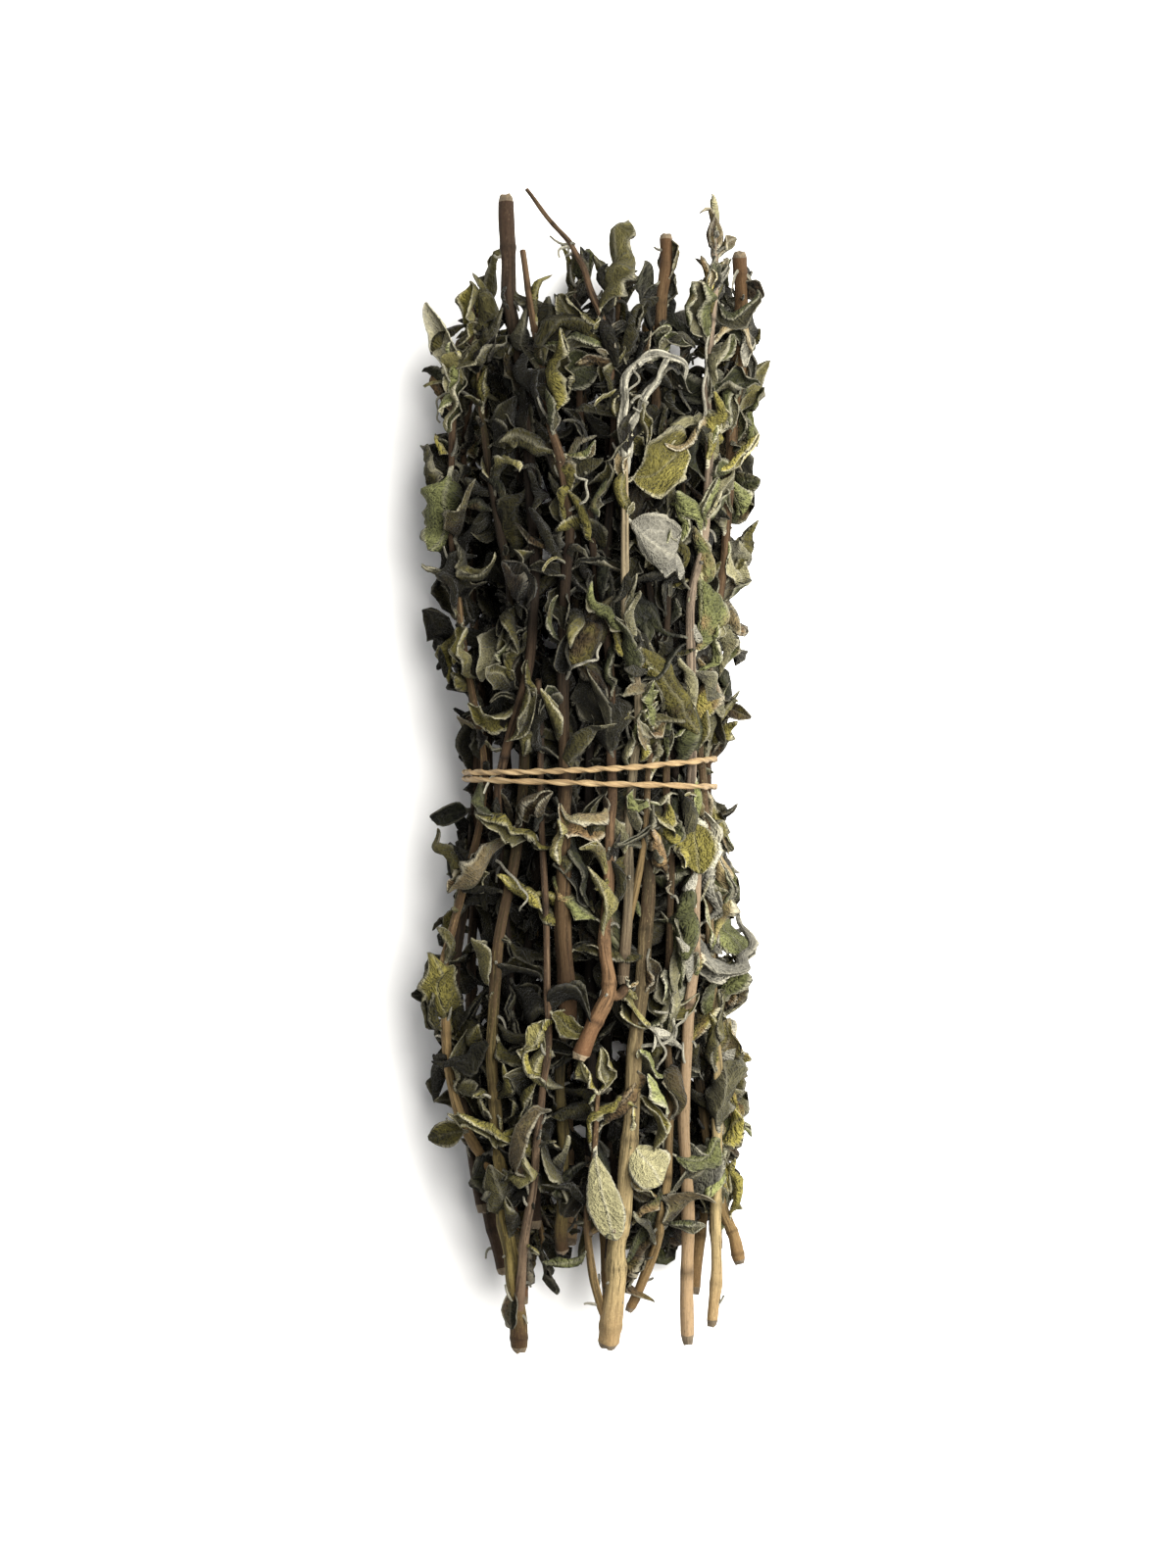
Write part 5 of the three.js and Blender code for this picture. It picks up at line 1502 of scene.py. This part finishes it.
class SageLeafSettings(bpy.types.PropertyGroup):
    """How the leaves look"""

    crowd: FloatProperty(
        name="Small leaves", description="How many small leaves grow on each 10 mm of stem",
        default=1.85, min=0, max=3,
    )
    crinkle: FloatProperty(
        name="Crinkle", description="How far the rims of the leaves are crinkled", default=1.35,
        min=0, max=2, subtype="FACTOR",
    )
    green: colour_property("Green", "Upper sides that kept their greyish green", (0.080, 0.084, 0.031))
    olive: colour_property("Olive", "Leaves that dried yellow-green", (0.125, 0.108, 0.026))
    brown: colour_property("Brown", "Leaves that browned as they dried", (0.108, 0.070, 0.033))
    felt: colour_property("Felt", "The felt of the undersides", (0.188, 0.172, 0.092))
    ash: colour_property("Ash", "Leaves that dried grey", (0.185, 0.175, 0.140))
    rim: colour_property("Rims and veins", "Felt on rims, veins and stalks", (0.400, 0.375, 0.285))


class SageBarkSettings(bpy.types.PropertyGroup):
    """The colours of the stems"""

    russet: colour_property("Russet", "Red-brown bark", (0.128, 0.074, 0.036))
    rust: colour_property("Rust", "Dark red-brown bark", (0.072, 0.043, 0.019))
    tan: colour_property("Tan", "Yellow-brown bark", (0.165, 0.112, 0.048))
    straw: colour_property("Straw", "Yellow bark", (0.285, 0.218, 0.106))
    olive: colour_property("Olive", "Green-brown bark", (0.120, 0.091, 0.029))
    silver: colour_property("Silver", "Grey bark", (0.168, 0.128, 0.090))
    cream: colour_property("Cream", "Pale bark, and pale streaks in the others", (0.160, 0.127, 0.077))
    foot: colour_property("Foot", "The lower end of grey stems", (0.265, 0.178, 0.094))
    butt: colour_property("Butt", "The lower end of green-brown stems", (0.030, 0.014, 0.008))
    brown: colour_property("Brown", "Brown bark", (0.105, 0.072, 0.045))
    umber: colour_property("Umber", "Dark bark", (0.034, 0.022, 0.013))
    young: colour_property("Young", "Bark of young stems", (0.062, 0.037, 0.020))
    cut_wood: colour_property("Cut wood", "Weathered cut ends", (0.125, 0.090, 0.050))
    fresh_wood: colour_property("Fresh wood", "Cut ends that are still pale", (0.34, 0.26, 0.16))


class SageTieSettings(bpy.types.PropertyGroup):
    """How the tie looks"""

    pitch: FloatProperty(
        name="Twist", description="Length of one turn of the tie's twist", default=0.0108,
        min=0.001, max=0.02, unit="LENGTH",
    )
    raffia: colour_property("Raffia", "Colour of the tie", (0.300, 0.205, 0.094))
    raffia_dark: colour_property("Raffia, dark", "Darker fibres of the tie", (0.135, 0.080, 0.034))
    raffia_pale: colour_property("Raffia, pale", "Paler lengths of the tie", (0.44, 0.335, 0.185))


class SageStageSettings(bpy.types.PropertyGroup):
    """The floor and the light"""

    floor: colour_property("Floor", "Colour of the floor", (0.87, 0.87, 0.865))
    key: FloatProperty(
        name="Key light", description="Power of the large soft light on the right", default=103.0,
        min=0, unit="POWER",
    )
    sky: FloatProperty(
        name="Sky", description="Strength of the even light from all round", default=0.45, min=0
    )


# ---- operators ------------------------------------------------------------------------------------

FACE_SPRIGS = (
    "sprig_left", "sprig_thick", "sprig_forked", "sprig_red", "sprig_pale", "sprig_right",
    "sprig_edge", "sprig_splayed", "sprig_green", "sprig_slanting", "sprig_long", "sprig_far_left",
)
UPENDED_SPRIGS = ("sprig_upended_left", "sprig_upended_middle", "sprig_upended_right")
UNDER_SPRIGS = tuple(name for name in SPRIGS if "under" in name or "low" in name)
INNER_SPRIGS = ("sprig_inner_left", "sprig_inner_middle")

# The bark of each sprig's stems, main stem first. Other sprigs are tan.
BARKS = {
    "sprig_left": ("olive", "tan", "brown"),
    "sprig_thick": ("straw", "tan", "tan"),
    "sprig_forked": ("russet", "russet"),
    "sprig_red": ("rust",),
    "sprig_pale": ("cream", "tan"),
    "sprig_right": ("silver",),
    "sprig_green": ("olive",),
    "sprig_edge": ("straw",),
    "sprig_upended_right": ("rust",),
    "sprig_upended_left": ("umber",),
    "sprig_upended_middle": ("rust",),
    "sprig_long": ("umber",),
    "sprig_far_left": ("umber",),
    "sprig_low_left": ("umber",),
    "sprig_under_left": ("russet",),
    "sprig_under_middle_left": ("silver",),
    "sprig_inner_left": ("umber",),
    "sprig_inner_middle": ("umber",),
}

SEEN_SPRIGS = (*FACE_SPRIGS, *UPENDED_SPRIGS)

RAW_SHARES = (0.78, 0.68, 0.66)  # what is left of the parts of a bark's colour next to a cut end
RAW_REACH, SILVER_REACH = 9, 2.6  # how short that end is; it is longest on grey stems


def material_named(name, make, *arguments):
    """The material of that name, made the first time that it is asked for."""
    return bpy.data.materials.get(name) or make(name, *arguments)


def dress_sprigs(context, names):
    """Dresses the sprigs named, in the colours that the settings give."""
    leaf, bark = context.scene.sage_leaf, context.scene.sage_bark
    for name in names:
        fresh = name == "sprig_forked"
        cut = "sage fresh wood" if fresh else "sage cut wood"
        materials = [
            material_named("sage leaf upper side", upper_finish, leaf),
            material_named("sage leaf felted side", felt_finish, leaf),
            material_named(cut, cut_finish, bark.fresh_wood if fresh else bark.cut_wood),
        ]
        for kind in BARKS.get(name, ("tan",) * len(SPRIGS[name])):
            own = getattr(bark, kind)
            young = own if kind in ("cream", "silver") else bark.young
            raw = {"silver": bark.foot, "olive": bark.butt}.get(kind, shaded(own, *RAW_SHARES))
            reach = SILVER_REACH if kind == "silver" else RAW_REACH
            facts = (bark, own, young, raw, reach)
            materials.append(material_named(f"sage bark {kind}", bark_finish, *facts))
        dress_sprig(name, leaf.crowd, leaf.crinkle, name in SEEN_SPRIGS, materials)


class SAGE_OT_face_sprigs(bpy.types.Operator):
    """Dress the sprigs that show on the face of the bunch"""

    bl_idname = "sage.face_sprigs"
    bl_label = "Face sprigs"

    def execute(self, context):
        dress_sprigs(context, FACE_SPRIGS)
        return {"FINISHED"}


class SAGE_OT_upended_sprigs(bpy.types.Operator):
    """Dress the sprigs that lie head to tail with the others"""

    bl_idname = "sage.upended_sprigs"
    bl_label = "Upended sprigs"

    def execute(self, context):
        dress_sprigs(context, UPENDED_SPRIGS)
        return {"FINISHED"}


class SAGE_OT_under_sprigs(bpy.types.Operator):
    """Dress the sprigs on the underside, which the bunch rests on"""

    bl_idname = "sage.under_sprigs"
    bl_label = "Under sprigs"

    def execute(self, context):
        dress_sprigs(context, UNDER_SPRIGS)
        return {"FINISHED"}


class SAGE_OT_inner_sprigs(bpy.types.Operator):
    """Dress the sprigs in the heart of the bunch"""

    bl_idname = "sage.inner_sprigs"
    bl_label = "Inner sprigs"

    def execute(self, context):
        dress_sprigs(context, INNER_SPRIGS)
        return {"FINISHED"}


class SAGE_OT_raffia_tie(bpy.types.Operator):
    """Make the tie of twisted raffia over its solid"""

    bl_idname = "sage.raffia_tie"
    bl_label = "Raffia tie"

    def execute(self, context):
        look = context.scene.sage_tie
        dress_tie(look.pitch / MM, [material_named("twisted raffia", raffia_finish, look)])
        return {"FINISHED"}


# The stage, in metres: how far the floor's edges are from its middle, where the key light is and
# what it is turned to, how wide it is and its colour, and then the camera.
FLOOR_EDGE = 4.0
KEY_PLACE, KEY_AIM, KEY_SIZE = (0.75, 0.32, 1.25), (0, 0, 0.03), 1.7
KEY_COLOUR = (1.0, 0.98, 0.94)
CAMERA_LENS = 180.0  # mm
SENSOR = 36.0  # mm
VIEW_HEIGHT = 0.4  # what the camera takes in, at the bunch, along its long side
VIEW_CENTRE = (0.0, -0.0025, 0.03)


class SAGE_OT_stage(bpy.types.Operator):
    """Make the floor, the light and the camera"""

    bl_idname = "sage.stage"
    bl_label = "Stage"

    def execute(self, context):
        look, scene = context.scene.sage_stage, context.scene
        mesh = bpy.data.meshes.new("floor")
        corners = [(x * FLOOR_EDGE, y * FLOOR_EDGE, 0) for x, y in ((-1, -1), (1, -1), (1, 1), (-1, 1))]
        mesh.from_pydata(corners, [], [(0, 1, 2, 3)])
        floor = bpy.data.objects.new("floor", mesh)
        scene.collection.objects.link(floor)
        finish = Finish("matt floor")
        place = finish.value("ShaderNodeTexCoord", None, None, "Object")
        haze = finish.noise(place, 40.0, 3.0)
        colour = finish.mixed(haze * 0.06, look.floor, (0.8, 0.8, 0.8, 1))
        mesh.materials.append(finish.finished(colour, 0.95, haze, 0.0002))
        floor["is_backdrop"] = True
        lamp = bpy.data.lights.new("key light", "AREA")
        lamp.shape, lamp.size, lamp.energy, lamp.color = "DISK", KEY_SIZE, look.key, KEY_COLOUR
        light = bpy.data.objects.new("key light", lamp)
        scene.collection.objects.link(light)
        light.location = KEY_PLACE
        aim = Vector(KEY_AIM) - Vector(KEY_PLACE)
        light.rotation_euler = aim.to_track_quat("-Z", "Y").to_euler()
        world = bpy.data.worlds.new("studio")
        scene.world = world
        world.use_nodes = True
        background = world.node_tree.nodes["Background"]
        background.inputs["Color"].default_value = (1, 1, 1, 1)
        background.inputs["Strength"].default_value = look.sky
        camera = bpy.data.objects.new("camera", bpy.data.cameras.new("camera"))
        scene.collection.objects.link(camera)
        camera.data.lens, camera.data.sensor_width = CAMERA_LENS, SENSOR
        away = VIEW_HEIGHT * CAMERA_LENS / SENSOR
        camera.location = (VIEW_CENTRE[0], VIEW_CENTRE[1], VIEW_CENTRE[2] + away)
        scene.camera = camera
        scene.view_settings.view_transform = "Standard"
        return {"FINISHED"}


class SAGE_PT_bunch(bpy.types.Panel):
    """The bunch's settings and the steps that make it"""

    bl_label = "Dried sage bunch"
    bl_idname = "SAGE_PT_bunch"
    bl_space_type = "VIEW_3D"
    bl_region_type = "UI"
    bl_category = "Sage"

    def draw(self, context):
        for key in ("sage_leaf", "sage_bark", "sage_tie", "sage_stage"):
            group = getattr(context.scene, key)
            box = self.layout.box()
            for name in group.__annotations__:
                box.prop(group, name)
        for operator in OPERATORS:
            self.layout.operator(operator.bl_idname)


OPERATORS = (
    SAGE_OT_stage, SAGE_OT_face_sprigs, SAGE_OT_upended_sprigs, SAGE_OT_under_sprigs,
    SAGE_OT_inner_sprigs, SAGE_OT_raffia_tie,
)
SETTINGS = {
    "sage_leaf": SageLeafSettings,
    "sage_bark": SageBarkSettings,
    "sage_tie": SageTieSettings,
    "sage_stage": SageStageSettings,
}


CLASSES = (*SETTINGS.values(), *OPERATORS, SAGE_PT_bunch)


def register():
    """Adds the settings, the steps and the panel."""
    for kind in CLASSES:
        bpy.utils.register_class(kind)
    for key, kind in SETTINGS.items():
        setattr(bpy.types.Scene, key, PointerProperty(type=kind))


def unregister():
    """Takes them away again."""
    for key in SETTINGS:
        delattr(bpy.types.Scene, key)
    for kind in reversed(CLASSES):
        bpy.utils.unregister_class(kind)


def main():
    """Dresses the bunch."""
    register()
    bpy.ops.sage.stage()
    bpy.ops.sage.face_sprigs()
    bpy.ops.sage.upended_sprigs()
    bpy.ops.sage.under_sprigs()
    bpy.ops.sage.inner_sprigs()
    bpy.ops.sage.raffia_tie()
    boxes = {"solids": solid_box, "visual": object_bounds()}
    sizes = {name: [list(corner) for corner in box] for name, box in boxes.items()}


if __name__ == "__main__":
    main()
